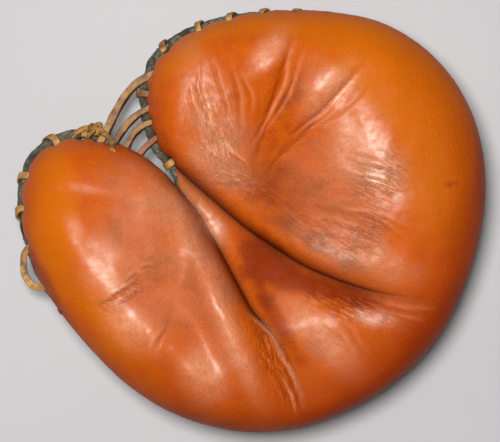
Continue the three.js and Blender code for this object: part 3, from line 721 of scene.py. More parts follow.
ORANGE = srgb(200, 88, 5)
AMBER = srgb(206, 103, 0)
RUSSET = srgb(178, 62, 8)
# deep red: partly the leather's own colour and partly painted shade
DEEP_RED_AND_SHADE = srgb(132, 36, 0)
DEEP_BROWN = srgb(70, 18, 6)
# partly rubbed wear and partly painted sheen
WORN_AND_SHEEN_PINK = srgb(194, 114, 82)
# the pale colour of the painted highlights
PAINTED_HIGHLIGHT = srgb(240, 168, 130)
# painted shade for the lower right side
RIM_SHADE_RED = srgb(152, 48, 0)
UMBER = srgb(120, 52, 22)
DULL_TAN = srgb(152, 84, 42)
# x, y, length, width, turn in degrees, strength: where the leather is amber
AMBER_PATCHES = [
    (85, 87, 60, 38, -40, 0.9),
    (-117, 7, 46, 18, 90, 0.9),
    (112, 25, 55, 26, 90, 0.8),
    (-87, -61, 52, 16, -50, 0.7),
    (49, -92, 44, 14, 25, 0.4),
    (-40, 100, 24, 12, 40, 0.7),
    (0, 118, 60, 10, 0, 0.7),
    (-38, 16, 14, 8, -40, 0.9),
]
# the same, for a deep red, which is painted shade along the creases, beside the folds and round the
# rim, and deep red leather elsewhere
DEEP_RED_AND_SHADE_PATCHES = [
    (9, -24, 26, 14, -42, 1.0),
    (49, -42, 44, 8, -16, 0.8),
    (15, -58, 34, 7, -58, 0.6),
    (7, 22, 24, 16, 30, 0.45),
    (112, -68, 46, 16, 52, 0.75),
    (60, -110, 60, 10, 25, 0.7),
    (22, 68, 36, 9, 68, 0.4),
    (52, 68, 30, 8, 50, 0.35),
    (-30, -120, 60, 9, -15, 0.5),
    (140, 20, 90, 9, 90, 0.6),
    (-128, -34, 34, 8, -60, 0.6),
    (-62, 84, 26, 7, 90, 0.3),
    (119, 22, 7, 3, 8, 0.6),
]
# the same, for a dull pink: partly where the ball and the hand have rubbed it, and partly a painted
# sheen
WORN_AND_SHEEN_PATCHES = [
    (-62, -12, 62, 26, -55, 0.75),
    (-62, -48, 26, 15, -40, 0.6),
    (-30, -17, 36, 8, 120, 0.9),
    (-18, 44, 36, 22, 60, 0.6),
    (58, 22, 46, 34, 0, 0.8),
    (61, -18, 46, 14, -20, 0.8),
    (-28, 4, 22, 7, -52, 0.8),
    (34, -64, 34, 12, -48, 0.7),
    (-22, -70, 38, 13, -62, 0.7),
    (36, 84, 24, 14, 60, 0.45),
]
# the same, for the old stain at the bottom of the pocket
UMBER_PATCHES = [
    (8, 24, 26, 18, -20, 0.75),
    (30, 12, 40, 20, 0, 0.4),
    (12, 56, 34, 10, 65, 0.3),
    (-44, -14, 30, 8, 105, 0.3),
    (40, -14, 44, 7, -28, 0.6),
]
# the same, for painted highlights on the swells, where handling has also polished the leather to a
# gloss
GLOSS_AND_HIGHLIGHT_PATCHES = [
    (-51, 11, 26, 14, 112, 0.55),
    (-21, 36, 18, 10, 150, 0.7),
    (60, 44, 24, 15, 112, 0.75),
    (58, -20, 32, 13, -24, 0.3),
    (-31, 85, 24, 10, 108, 0.35),
    (-88, -30, 17, 12, 116, 0.78),
    (-103, -9, 11, 5, 116, 0.3),
    (-70, -63, 18, 11, 140, 1.0),
    (-29, -90, 17, 12, 112, 1.0),
    (-102, 19, 13, 3, -5, 0.22),
    (-11, -70, 34, 7, 113, 0.9),
    (-31, -17, 32, 6, 120, 0.45),
    (-41, -12, 18, 10, 90, 0.2),
    (11, 102, 14, 7, 50, 1.0),
    (46, 77, 18, 9, 48, 1.0),
    (72, 36, 30, 12, 112, 1.0),
    (77, 28, 14, 10, 112, 1.0),
    (-20, 50, 30, 14, 112, 0.95),
    (-60, 24, 20, 12, 130, 0.35),
    (79, -27, 16, 8, -15, 0.55),
    (-26, 0, 16, 6, -52, 0.9),
    (41, -66, 28, 11, -46, 0.7),
    (72, -58, 15, 5, -10, 0.5),
]
# the same, for where the leather is crinkled by bending, up and down and across the fingers
UPRIGHT_CRINKLES = [
    (-20, 56, 48, 20, 105, 0.62),
    (22, 76, 40, 7, 66, 0.4),
    (50, 68, 34, 6, 46, 0.3),
    (14, -84, 36, 9, 115, 0.8),
]
SLANTING_CRINKLES = [
    (46, -8, 50, 20, -30, 0.5),
    (78, 20, 30, 20, 80, 0.7),
    (-8, 26, 26, 14, -25, 0.5),
    (60, -52, 40, 9, -14, 0.7),
    (-78, -46, 26, 8, 32, 0.6),
]


PATCH_EDGE = 1.3  # above 1, a patch keeps its strength further out and then ends sooner


def patches(x, y, table):
    """How strongly the patches of a table show at each point, from 0 to 1."""
    bare = np.ones(len(x))
    for *oval, strength in table:
        u, v = in_oval(x, y, *oval)
        bare *= 1 - strength * np.exp(-((u * u + v * v) ** PATCH_EDGE))
    return 1 - bare


x, y, z = flat_points(palm).T
# painted shade along the two creases, strongest where they are deep
crease = np.zeros(len(x))
for line, spread in ((THUMB_LINE, 2.4), (FINGER_LINE, 2.8)):
    distance, at = nearest(line, x, y)
    crease = np.maximum(crease, np.exp(-distance / spread) * np.clip(at[:, 2] / 12, 0, 1))
note(palm, "crease", crease)
edge_distance, _ = nearest(OUTLINE, x, y)
lower_right = np.clip(0.15 + (x - y) / 210, 0, 1)  # the side that the lamp leaves darkest
low = np.clip((RIM_TOP - z) / RIM_FADE, 0, 1)
# painted shade: darker near the rim's edge and, more broadly, towards the lower right, where the
# lamp leaves the leather darkest
note(palm, "edge", np.clip(1 - edge_distance / 14, 0, 1) * low * lower_right)
note(palm, "rim_shade", ramp(1.2 - edge_distance / 46) * lower_right)
# painted shade in the furrows of the wrinkles, and a painted highlight on their lips
furrow = wrinkle_relief(x, y, waver_at(x, y))
note(palm, "furrow", np.clip(furrow / 0.7, 0, 1))
note(palm, "lip", np.clip(-furrow / 0.4, 0, 1))
note(palm, "pucker", ramp(2 - np.hypot(x - PUCKER[0], y - PUCKER[1]) / 16))
for name, table in (
    ("amber", AMBER_PATCHES),
    ("deep_red_and_shade", DEEP_RED_AND_SHADE_PATCHES),
    ("worn", WORN_AND_SHEEN_PATCHES),
    ("umber", UMBER_PATCHES),
    ("gloss_and_highlight", GLOSS_AND_HIGHLIGHT_PATCHES),
    ("upright", UPRIGHT_CRINKLES),
    ("slanting", SLANTING_CRINKLES),
):
    note(palm, name, patches(x, y, table))
CRINKLE_SCALE = (400.0, 80.0, 80.0)  # close together, and long


def palm_leather():
    shade = Shade("oiled_leather")
    where = shade.where
    cloud = shade.noise(28.0, 5.0, 0.6) - 0.5
    mottle = shade.noise(75.0, 5.0, 0.65)
    speckle = shade.noise(520.0, 3.0, 0.6).clamped(0.62, 0.76)
    dull = shade.noise(52.0, 3.0).clamped(0.5, 0.62)

    def spread(name):
        """A mask with a ragged edge, so that no patch ends in a clean line."""
        return (shade.attribute(name) + cloud * 0.9 + (mottle - 0.5) * 0.5).clamped(0.22, 0.8)

    color = shade.mix(mottle.clamped(0.4, 0.7) * 0.55, ORANGE, RUSSET)
    color = shade.mix(spread("amber") * 0.85, color, AMBER)
    # the dull pink is partly wear and partly a painted sheen
    color = shade.mix(spread("worn") * 0.55, color, WORN_AND_SHEEN_PINK)
    color = shade.mix(spread("worn") * dull * 0.45, color, DULL_TAN)
    color = shade.mix(spread("umber") * 0.55, color, UMBER)
    # deep red patches, partly painted shade; then painted shade towards the lower right and at the
    # rim's edge
    color = shade.mix(spread("deep_red_and_shade") * 0.92, color, DEEP_RED_AND_SHADE)
    color = shade.mix(shade.attribute("rim_shade") * 0.88, color, RIM_SHADE_RED)
    edge = shade.attribute("edge")
    color = shade.mix(edge * edge * 0.8, color, DEEP_RED_AND_SHADE)
    # painted shade in the creases
    color = shade.mix(shade.attribute("crease") * 0.95, color, DEEP_BROWN)
    # painted shade in the lace holes
    color = shade.mix(shade.attribute("hole").clamped(0.45, 0.95) * 0.9, color, DEEP_BROWN)
    color = shade.mix(speckle * 0.13, color, DEEP_BROWN)

    # fine creases that run out from the pucker
    centre = tuple((np.array([*PUCKER, 0.0]) + [*SHIFT, 0.0]) * MM)
    arm = shade.vector("SUBTRACT", shade.vector("MULTIPLY", where, (1.0, 1.0, 0.0)), centre)
    ray = shade.vector("NORMALIZE", arm)
    fan = shade.vector("MULTIPLY_ADD", arm, (14.0, 14.0, 0.0), ray)
    rays = shade.noise(16.0, 4.0, 0.65, fan)
    radial = rays * (1 - shade.attribute("pucker") * 0.85)

    # pebbles about a millimetre across, none of them quite round
    warp = shade.noise(260.0, 2.0, 0.5, output=1)
    bent = shade.vector("MULTIPLY_ADD", warp, (0.0022,) * 3, where)
    nap = shade.noise(430.0, 3.0, 0.7)
    pores = shade.noise(1400.0, 2.0)
    pebbles = shade.pebbles(560.0, bent) * 0.22 + pores * 0.12 + nap * 0.08

    def crinkles(turn, mask):
        """The grooves and the crests of fine wrinkles along one direction, where the mask is."""
        inputs = {"Vector": bent, "Rotation": (0.0, 0.0, math.radians(turn))}
        turned = shade.node("ShaderNodeMapping", {}, inputs)
        drawn_out = shade.vector("MULTIPLY", turned, CRINKLE_SCALE)
        gap = (shade.noise(1.0, 3.0, 0.6, drawn_out) - 0.5).math("ABSOLUTE")
        part = spread(mask)
        return (1 - gap.clamped(0.0, 0.06)) * part, gap.clamped(0.07, 0.15) * part

    upright_grooves, upright_crests = crinkles(-18, "upright")
    slanting_grooves, slanting_crests = crinkles(-60, "slanting")
    crinkled = (1 - upright_grooves) * (1 - slanting_grooves)
    crests = upright_crests + slanting_crests
    height = pebbles + radial + mottle * 0.6 + crinkled * 0.85

    # the gloss is broken up by the nap; a painted highlight is brightest on the crests and on the
    # lips of wrinkles, and painted shade, with some darker oil, darkens the grooves of the crinkles
    # and the furrows of the wrinkles
    gloss_and_highlight = shade.attribute("gloss_and_highlight") * (0.1 + rays * 0.9 + nap * 0.9)
    gloss_and_highlight = gloss_and_highlight * (0.65 + mottle.clamped(0.36, 0.62) * 0.6)
    color = shade.mix((1 - crinkled) * 0.16, color, UMBER)
    color = shade.mix(crests * (gloss_and_highlight * 0.38 + 0.1), color, PAINTED_HIGHLIGHT)
    color = shade.mix(shade.attribute("furrow") * 0.5, color, DEEP_RED_AND_SHADE)
    color = shade.mix(gloss_and_highlight * 0.46 + shade.attribute("lip") * 0.36, color, PAINTED_HIGHLIGHT)
    roughness = 0.6 + speckle * 0.1 - gloss_and_highlight * 0.2 - spread("worn") * 0.14
    flat = (1 - shade.attribute("crease")) * (1 - shade.attribute("pucker") * 0.8)
    shade.feed("Coat Weight", (gloss_and_highlight * 0.78 + 0.02) * flat)
    oil = {"Specular_IOR_Level": 0.26, "Specular_Tint": (1.0, 0.64, 0.34, 1.0)}
    return shade.finish(color, roughness, height, 0.7, 0.001, Coat_Roughness=0.34, **oil)


def belongs(piece, node):
    """The piece stands for the node, if any, whose part is hidden, and moves with the mitt."""
    if node:
        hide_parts(node)
    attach(piece, "root")


palm.data.materials.append(palm_leather())
belongs(palm, "palm")

# The back
# The leather behind the hand, 2.5 mm thick and darker than the palm, dished over the knuckles.
# It lies flat on the floor in the middle and is cut away at the heel, where the hand goes in.
BACK_TOP = 31.9
LEATHER = 2.5
BACK_CURVE = 14.0
BACK_SAG = 1.2
WALL_LEVELS = 16
WRIST_LEFT, WRIST_RIGHT, WRIST_INNER, WRIST_CORNER = -38.0, 48.0, -54.0, 20.0
CUTTER_START, CUTTER_LOW, CUTTER_HIGH = -170.0, -10.0, 50.0
CORNER_STEPS = 8
BACK_BROWN = srgb(128, 62, 26)
BACK_DARK = srgb(62, 28, 14)
BACK_LIGHT = srgb(164, 92, 44)


def build_back():
    """The dish, whole, as an outer and an inner wall joined along the seam."""
    skin = Skin()
    ring = np.linspace(0, ROWS, ROWS * FINE, endpoint=False)
    here, _ = rim_at(ring)
    sag = BACK_SAG * grain(here[:, 0], here[:, 1], 5.5, 16.0)

    def wall(inset, curve, bottom):
        """The rings of one side of the leather, from the seam down."""
        rings = []
        for angle in np.linspace(0, math.pi / 2, WALL_LEVELS + 1):
            out = sag * math.sin(2 * angle) - curve * (1 - math.cos(angle)) - inset
            height = BACK_TOP + (bottom - BACK_TOP) * math.sin(angle)
            rings.append(skin.add(seam_points(ring, out, height)))
        return rings

    skin.loft(wall(0, BACK_CURVE, 0)[::-1] + wall(LEATHER, BACK_CURVE - 1, LEATHER))
    return skin.to_object("back_leather")


def wrist_block():
    """A block with two rounded corners at its inner end, to cut the wrist opening with."""
    flat = [(WRIST_LEFT, CUTTER_START), (WRIST_RIGHT, CUTTER_START)]
    for x, quarter in ((WRIST_RIGHT - WRIST_CORNER, 0), (WRIST_LEFT + WRIST_CORNER, 1)):
        for step in range(CORNER_STEPS + 1):
            angle = math.pi / 2 * (quarter + step / CORNER_STEPS)
            y = WRIST_INNER - WRIST_CORNER + WRIST_CORNER * math.sin(angle)
            flat.append((x + WRIST_CORNER * math.cos(angle), y))
    skin = Skin()
    skin.loft([skin.level(flat, height) for height in (CUTTER_LOW, CUTTER_HIGH)])
    return skin.to_object("wrist_cutter")


def apply_modifiers(obj):
    """Makes the object's modifiers part of its mesh."""
    graph = bpy.context.evaluated_depsgraph_get()
    mesh = bpy.data.meshes.new_from_object(obj.evaluated_get(graph))
    obj.modifiers.clear()
    old = obj.data
    obj.data = mesh
    bpy.data.meshes.remove(old)


back = build_back()
cutter = wrist_block()
cut = back.modifiers.new("wrist opening", "BOOLEAN")
cut.operation, cut.solver, cut.object = "DIFFERENCE", "EXACT", cutter
apply_modifiers(back)
bpy.data.objects.remove(cutter)


def back_leather():
    shade = Shade("back_leather")
    broad = shade.noise(22.0, 4.0).clamped(0.35, 0.7)
    rubbed = shade.noise(60.0, 6.0, 0.7).clamped(0.52, 0.72)
    wrinkles = shade.noise(45.0, 6.0, 0.7)
    color = shade.mix(broad, BACK_BROWN, BACK_DARK)
    color = shade.mix(rubbed * 0.6, color, BACK_LIGHT)
    height = shade.pebbles(480.0) * 0.5 + wrinkles * 1.6
    return shade.finish(color, 0.52 + rubbed * 0.15, height, 0.35, 0.0008)


back_finish = back_leather()
back.data.materials.append(back_finish)
belongs(back, "back")

# The welt
# A strip of grey-green leather folded round a cord and sewn into the seam between the palm and
# the back, so that its rolled edge stands out all the way round. It is creased by the laces.
WELT_RADIUS = 3.0
WELT_OUT = 3.4
WELT_HEIGHT = (PALM_FLOOR + BACK_TOP) / 2
WELT_START, WELT_END = 18.3, ROWS + 14.0
WELT_GREEN = srgb(112, 116, 98)
WELT_DARK = srgb(56, 52, 42)
WELT_PALE = srgb(160, 158, 136)
WELT_GIRTH, WELT_UNEVEN = 1.08, 0.24
PINCH_DEEP, PINCH_WIDE = 0.3, 2.6  # share of the girth lost under a lace, and over what length
WELT_STATIONS = 1500
SAME_POINT = 0.002 * MM  # the ends of a closed lace meet within this


def path_object(name, points, facing, girth):
    """A line of points as a mesh of edges, with the way its top faces and its girth."""
    obj = mesh_object(name, points, [(i, i + 1) for i in range(len(points) - 1)], [])
    layer = obj.data.attributes.new("facing", "FLOAT_VECTOR", "POINT")
    layer.data.foreach_set("vector", np.ascontiguousarray(facing, dtype=np.float32).ravel())
    note(obj, "girth", girth)
    return obj


class Tree:
    """A Geometry Nodes tree that is built a node at a time."""

    def __init__(self, name, *inputs):
        self.tree = bpy.data.node_groups.new(name, "GeometryNodeTree")
        face = self.tree.interface
        face.new_socket("Geometry", in_out="INPUT", socket_type="NodeSocketGeometry")
        face.new_socket("Geometry", in_out="OUTPUT", socket_type="NodeSocketGeometry")
        self.identifiers = {}
        for label in (*inputs, "Material"):
            kind = "NodeSocketMaterial" if label == "Material" else "NodeSocketFloat"
            socket = face.new_socket(label, in_out="INPUT", socket_type=kind)
            self.identifiers[label] = socket.identifier
        self.given = self.tree.nodes.new("NodeGroupInput")

    def value(self, label):
        return self.given.outputs[label]

    def node(self, kind, settings=None, inputs=None):
        """Adds a node and gives back its first output."""
        return add_node(self.tree, kind, settings, inputs).outputs[0]

    def attribute(self, name, kind):
        return self.node("GeometryNodeInputNamedAttribute", {"data_type": kind}, {"Name": name})

    def curve(self):
        return self.node("GeometryNodeMeshToCurve", {}, {"Mesh": self.value("Geometry")})

    def sweep(self, curve, profile):
        """The profile drawn along the curve, thicker or thinner by its girth, with closed ends."""
        inputs = {"Curve": curve, "Profile Curve": profile, "Fill Caps": True}
        inputs["Scale"] = self.attribute("girth", "FLOAT")
        return self.node("GeometryNodeCurveToMesh", {}, inputs)

    def wavering(self, geometry, size):
        """Pushes a surface in and out a little, as hand work does."""
        inputs = {"Scale": size, "Detail": 2.0, "W": self.value("Seed")}
        bumps = self.node("ShaderNodeTexNoise", {"noise_dimensions": "4D"}, inputs)
        centred = self.node("ShaderNodeMath", {"operation": "SUBTRACT"}, {0: bumps, 1: 0.5})
        inputs = {0: centred, 1: self.value("Waver")}
        scaled = self.node("ShaderNodeMath", {"operation": "MULTIPLY"}, inputs)
        inputs = {0: self.node("GeometryNodeInputNormal"), "Scale": scaled}
        push = self.node("ShaderNodeVectorMath", {"operation": "SCALE"}, inputs)
        return self.node("GeometryNodeSetPosition", {}, {"Geometry": geometry, "Offset": push})

    def end(self, geometry):
        realized = self.node("GeometryNodeRealizeInstances", {}, {"Geometry": geometry})
        inputs = {"Geometry": realized, "Material": self.value("Material")}
        painted = self.node("GeometryNodeSetMaterial", {}, inputs)
        out = self.tree.nodes.new("NodeGroupOutput")
        self.tree.links.new(painted, out.inputs[0])

    def run(self, obj, values):
        """Runs the tree on an object and leaves a plain mesh."""
        modifier = obj.modifiers.new(self.tree.name, "NODES")
        modifier.node_group = self.tree
        for label, value in values.items():
            modifier[self.identifiers[label]] = value
        apply_modifiers(obj)
        tidy_mesh(obj.data, SAME_POINT)


def bead_tree():
    tree = Tree("rolled bead", "Radius", "Waver", "Seed")
    inputs = {"Resolution": 20, "Radius": tree.value("Radius")}
    circle = tree.node("GeometryNodeCurvePrimitiveCircle", {}, inputs)
    tree.end(tree.wavering(tree.sweep(tree.curve(), circle), 330.0))
    return tree


def welt_leather():
    shade = Shade("welt_leather")
    blotch = shade.noise(90.0, 5.0, 0.65)
    scuffed = shade.noise(170.0, 5.0, 0.7).clamped(0.55, 0.7)
    creases = (shade.noise(380.0, 3.0, 0.6) - 0.5).math("ABSOLUTE").clamped(0.0, 0.1)
    color = shade.mix(blotch.clamped(0.4, 0.62), WELT_GREEN, WELT_DARK)
    color = shade.mix(scuffed * 0.7, color, WELT_PALE)
    color = shade.mix((1 - creases) * 0.6, color, WELT_DARK)
    return shade.finish(color, 0.6 + blotch * 0.1, creases + blotch, 0.7, 0.001)


welt_rows = np.linspace(WELT_START, WELT_END, WELT_STATIONS)
welt_line = seam_points(welt_rows, WELT_OUT, WELT_HEIGHT)
_, welt_outward = rim_at(welt_rows)
welt_facing = np.column_stack([welt_outward, np.zeros(WELT_STATIONS)])
welt_girth = WELT_GIRTH + WELT_UNEVEN * grain(welt_line[:, 0], welt_line[:, 1], 9.5, 7.0)
laced_rows = [row for row, _ in FINGER_STITCHES + THUMB_STITCHES + HEEL_STITCHES] + SINGLE_ROWS
for pinch in seam_points(laced_rows, WELT_OUT, WELT_HEIGHT):
    away = np.linalg.norm(welt_line - pinch, axis=1)
    welt_girth -= PINCH_DEEP * np.exp(-((away / PINCH_WIDE) ** 2))
welt = path_object("welt_bead", welt_line, welt_facing, welt_girth)
welt_finish = welt_leather()
bead_values = {"Radius": WELT_RADIUS * MM, "Waver": 1.2 * MM, "Seed": 4.0, "Material": welt_finish}
bead_tree().run(welt, bead_values)
belongs(welt, "welt")

# The laces of the edge
# Flat strips of rawhide, tan on the smooth side, whipped over the welt through holes in the palm
# and the back. The one round the thumb has worked loose and hangs out in a small loop.
LACE_WIDTH, LACE_THICK, LACE_EDGE = 4.3, 1.7, 0.7
LACE_WAVER, LACE_UNEVEN = 0.8, 0.22
PATH_DENSE = 6  # points of the path to a station
LOOP_MIDDLE, LOOP_WIDE, LOOP_HIGH, LOOP_LOW = 2.0, 5.35, 4.5, 6.2
EARLY, LATE = (0.0, 0.55), (0.45, 1.0)  # the part of its way on which a lace moves to the next row
# row, out from the seam, height: where the loose lace hangs out of the thumb's edge
SLACK = [
    (9.06, 0.5, 38.2),
    (9.1, 4.6, 38.8),
    (9.2, 7.8, 38.6),
    (9.38, 10.2, 38),
    (9.58, 11.8, 37.4),
    (9.78, 12.2, 37.2),
    (9.95, 10.9, 37.6),
    (10.06, 8.3, 38.3),
    (10.13, 4.8, 38.6),
    (10.17, 0.5, 38.2),
]
SLACK_END = 10.2
RAWHIDE = srgb(170, 118, 50)
RAWHIDE_PALE = srgb(204, 160, 80)
RAWHIDE_BROWN = srgb(92, 52, 24)
RAWHIDE_RED = srgb(132, 58, 28)


def loop_stations(row_from, row_to, angle_from, angle_to, steps, moving=(0.0, 1.0)):
    """Stations of a stitch round the welt, and the way its smooth side faces there."""
    share = np.arange(steps) / steps
    rows = row_from + (row_to - row_from) * ramp((share - moving[0]) / (moving[1] - moving[0]))
    angles = np.radians(angle_from + (angle_to - angle_from) * share)
    tall = np.where(np.sin(angles) > 0, LOOP_HIGH, LOOP_LOW)
    out, up = LOOP_WIDE * np.cos(angles), tall * np.sin(angles)
    places = seam_points(rows, LOOP_MIDDLE + out, WELT_HEIGHT + up)
    _, outward = rim_at(rows)
    facing = np.column_stack([outward * (out / LOOP_WIDE**2)[:, None], up / tall**2])
    return places, facing / np.linalg.norm(facing, axis=1)[:, None]


def whipped(stitches, way, steps):
    """Over the welt, down, and underneath to the next hole, as far as the last stitch."""
    parts = []
    for (row, lean), (next_row, next_lean) in zip(stitches, stitches[1:]):
        over, under = row - way * lean / 2, row + way * lean / 2
        parts.append(loop_stations(over, under, 90, -90, 8))
        following = next_row - way * next_lean / 2
        parts.append(loop_stations(under, following, -90, -270, steps, EARLY))
    return parts


def finger_stations():
    """The stitches along the fingers, and the end tucked away below."""
    parts = whipped(FINGER_STITCHES, -1, 10)
    row, lean = FINGER_STITCHES[-1]
    parts.append(loop_stations(row + lean / 2, row - lean / 2, 90, -90, 8))
    parts.append(loop_stations(row - lean / 2, row - lean, -90, -150, 3))
    return parts


def thumb_stations():
    """The stitches round the thumb, then the slack loop, then the stitches towards the heel."""
    parts = whipped(THUMB_STITCHES, 1, 12)
    parts.append(loop_stations(SLACK[0][0], SLACK[0][0], 130, 110, 2))
    parts.append((seam_points(*np.array(SLACK).T), np.tile([0.0, 0.0, 1.0], (len(SLACK), 1))))
    begin = SLACK_END
    for row, lean in HEEL_STITCHES:
        parts.append(loop_stations(begin, row - lean / 2, 115, 270, 10, LATE))
        parts.append(loop_stations(row - lean / 2, row + lean / 2, 270, 450, 8))
        begin = row + lean / 2
    parts.append(loop_stations(begin, begin + 0.05, 450, 490, 2))
    return parts


def smooth_path(parts, ring):
    """A dense, smooth path through the stations, with the facing turned along with it."""
    table = np.hstack([np.vstack([part[column] for part in parts]) for column in (0, 1)])
    count = len(table)
    last = count if ring else count - 1
    at = np.linspace(0, last, last * PATH_DENSE + 1)
    first = np.floor(at).astype(int)
    share = (at - first)[:, None]
    p = []
    for k in (-1, 0, 1, 2):
        p.append(table[(first + k) % count if ring else np.clip(first + k, 0, count - 1)])
    dense = 0.5 * (
        2 * p[1] + (p[2] - p[0]) * share
        + (2 * p[0] - 5 * p[1] + 4 * p[2] - p[3]) * share**2
        + (3 * p[1] - p[0] - 3 * p[2] + p[3]) * share**3
    )
    return dense[:, :3], dense[:, 3:]


def lace_tree():
    tree = Tree("flat lace", "Width", "Thickness", "Edge", "Waver", "Seed")
    inputs = {"Curve": tree.curve(), "Normal": tree.attribute("facing", "FLOAT_VECTOR")}
    turned = tree.node("GeometryNodeSetCurveNormal", {"mode": "FREE"}, inputs)
    inputs = {"Width": tree.value("Thickness"), "Height": tree.value("Width")}
    flat = tree.node("GeometryNodeCurvePrimitiveQuadrilateral", {}, inputs)
    inputs = {"Curve": flat, "Radius": tree.value("Edge"), "Count": 4}
    rounded = tree.node("GeometryNodeFilletCurve", {"mode": "POLY"}, inputs)
    tree.end(tree.wavering(tree.sweep(turned, rounded), 180.0))
    return tree


def rawhide(name, stain, share):
    """Rawhide, tan on top with painted shade towards its edges and underneath, and stained by so
    much.
    """
    shade = Shade(name)
    normal = shade.node("ShaderNodeTexCoord", output="Normal")
    underside_shade = 1 - shade.node("ShaderNodeSeparateXYZ", {}, [normal], "Z").clamped(0.1, 0.9)
    streak = shade.noise(240.0, 5.0, 0.7)
    dirt = shade.noise(110.0, 5.0, 0.65)
    color = shade.mix(streak.clamped(0.4, 0.65), RAWHIDE, RAWHIDE_PALE)
    color = shade.mix(dirt.clamped(0.46, 0.64) * 0.8, color, RAWHIDE_BROWN)
    color = shade.mix(share, color, stain)
    # painted shade on the sides and underside of the lace
    color = shade.mix(underside_shade * 0.75, color, RAWHIDE_BROWN)
    return shade.finish(color, 0.48 + streak * 0.15, streak + dirt, 0.45, 0.0006)


lace_shape = lace_tree()
tan_rawhide = rawhide("tan_rawhide", RAWHIDE_BROWN, 0.05)


def make_lace(name, parts, ring, width, finish, seed, node=None):
    """A lace through these stations, that stands for a node or is in the scene alone."""
    place, facing = smooth_path(parts, ring)
    uneven = grain(place[:, 0], place[:, 1], place[:, 2] / 9 + seed, 9.0)
    girth = 1.0 + LACE_UNEVEN * uneven
    if ring:
        girth[-1] = girth[0]
    lace = path_object(name, place, facing, girth)
    lace_shape.run(lace, {
        "Width": width * MM, "Thickness": LACE_THICK * MM, "Edge": LACE_EDGE * MM,
        "Waver": LACE_WAVER * MM, "Seed": seed, "Material": finish,
    })
    belongs(lace, node)


make_lace("finger_strip", finger_stations(), False, LACE_WIDTH, tan_rawhide, 1.0, "finger_lace")
make_lace("thumb_strip", thumb_stations(), False, LACE_WIDTH, tan_rawhide, 2.0, "thumb_lace")
for number, (node, row) in enumerate(EDGE_STITCHES):
    around = [loop_stations(row, row, 90, -270, 14)]
    make_lace(node + "_strip", around, True, LACE_WIDTH, tan_rawhide, 3.0 + number, node)

# The web
# Strands of the same rawhide, each passed through the thumb's edge and the fingers' edge and
# back underneath. The strand nearest the crotch has darkened to a reddish brown.
WEB_REACH, WEB_DROP = 6.5, 5.2  # of the loop of a strand, in from the seam and over its middle
WEB_BULGE = 0.4  # how far a strand keeps its heading, as a share of its length
WEB_NARROWED = 0.84  # the strands are pulled narrower than they were cut
brown_rawhide = rawhide("browned_rawhide", RAWHIDE_BROWN, 0.4)
red_rawhide = rawhide("reddened_rawhide", RAWHIDE_RED, 0.72)


def heading(degrees):
    return np.array([math.cos(math.radians(degrees)), math.sin(math.radians(degrees)), 0.0])


def web_stations(thumb, leaves, fingers, enters):
    """Over the gap, round the fingers' edge, back underneath and round the thumb's edge."""
    inset = WEB_REACH - WEB_DROP
    leaving, entering = heading(leaves), heading(enters)
    start = seam_points([thumb], 0.0, WELT_HEIGHT)[0] - leaving * inset
    stop = seam_points([fingers], 0.0, WELT_HEIGHT)[0] + entering * inset
    handle = np.linalg.norm(stop - start) * WEB_BULGE
    a, b, c, d = start, start + leaving * handle, stop - entering * handle, stop

    def station(share, degrees):
        rest = 1 - share
        place = a * rest**3 + 3 * b * rest**2 * share + 3 * c * rest * share**2 + d * share**3
        along = 3 * ((b - a) * rest**2 + 2 * (c - b) * rest * share + (d - c) * share**2)
        along /= np.linalg.norm(along)
        angle = math.radians(degrees)
        facing = along * math.cos(angle) + np.array([0.0, 0.0, math.sin(angle)])
        return place + facing * WEB_DROP, facing

    stations = [station(share, 90) for share in (0, 0.2, 0.4, 0.6, 0.8)]
    stations += [station(1, degrees) for degrees in (90, 60, 30, 0, -30, -60)]
    stations += [station(share, -90) for share in (1, 0.8, 0.6, 0.4, 0.2)]
    stations += [station(0, degrees) for degrees in (270, 240, 210, 180, 150, 120)]
    return [tuple(np.array(column) for column in zip(*stations))]


for number, (node, thumb, leaves, fingers, enters, width) in enumerate(WEB):
    finish = red_rawhide if number == len(WEB) - 1 else brown_rawhide
    around = web_stations(thumb, leaves, fingers, enters)
    make_lace(node + "_strip", around, True, width * WEB_NARROWED, finish, 5.0 + number, node)

# The knot of the web
# The strands are tied off at the top of the thumb in one small hard knot that lies on the welt.
# One end runs back along the welt, one dives into the edge, and one is stitched into the leather.
KNOT_PLACE = (-95.8, 57.2, 40.2)
KNOT_REACH, KNOT_TALL = 1.35, 1.5
KNOT_TURNS = 40
# x, y, height over the welt's middle, or over the thumb where on_thumb is 1
KNOT_ENDS = [
    ("knot_end_back", 3.6, [
        (-111, 52.5, 2, 0),
        (-107, 55.6, 4, 0),
        (-102, 57.6, 5.5, 0),
        (-97, 57.4, 7, 0),
    ]),
    ("knot_end_short", 3.2, [
        (-96, 57, 8, 0),
        (-98.4, 54.6, 10, 0),
        (-100, 51.8, 13, 0),
        (-100.5, 49, 17, 0),
    ]),
    ("knot_end_sewn", 3.4, [
        (-95, 56.6, 8, 0),
        (-91, 54.4, 10.5, 0),
        (-87.6, 51.6, 15, 0),
        (-85.3, 49.2, 21, 0),
        (-84.2, 46.8, 1.4, 1),
        (-83.6, 44.4, 0.9, 1),
        (-83.2, 42.6, 0.4, 1),
        (-82.9, 41.2, -3, 1),
        (-82.7, 40.2, -8, 1),
    ]),
]
KNOT_END_FACING = (-0.2, 0.5, 0.85)


def knot_stations():
    """One turn of a trefoil, the shape of a plain overhand knot pulled round."""
    turn = np.linspace(0, 2 * math.pi, KNOT_TURNS, endpoint=False)
    across = KNOT_REACH * (np.sin(turn) + 2 * np.sin(2 * turn))
    up = KNOT_REACH * (np.cos(turn) - 2 * np.cos(2 * turn))
    place = np.column_stack([across, up, -KNOT_TALL * np.sin(3 * turn)])
    facing = place + np.array([0.0, 0.0, KNOT_TALL])
    return [(place + np.array(KNOT_PLACE), facing / np.linalg.norm(facing, axis=1)[:, None])]


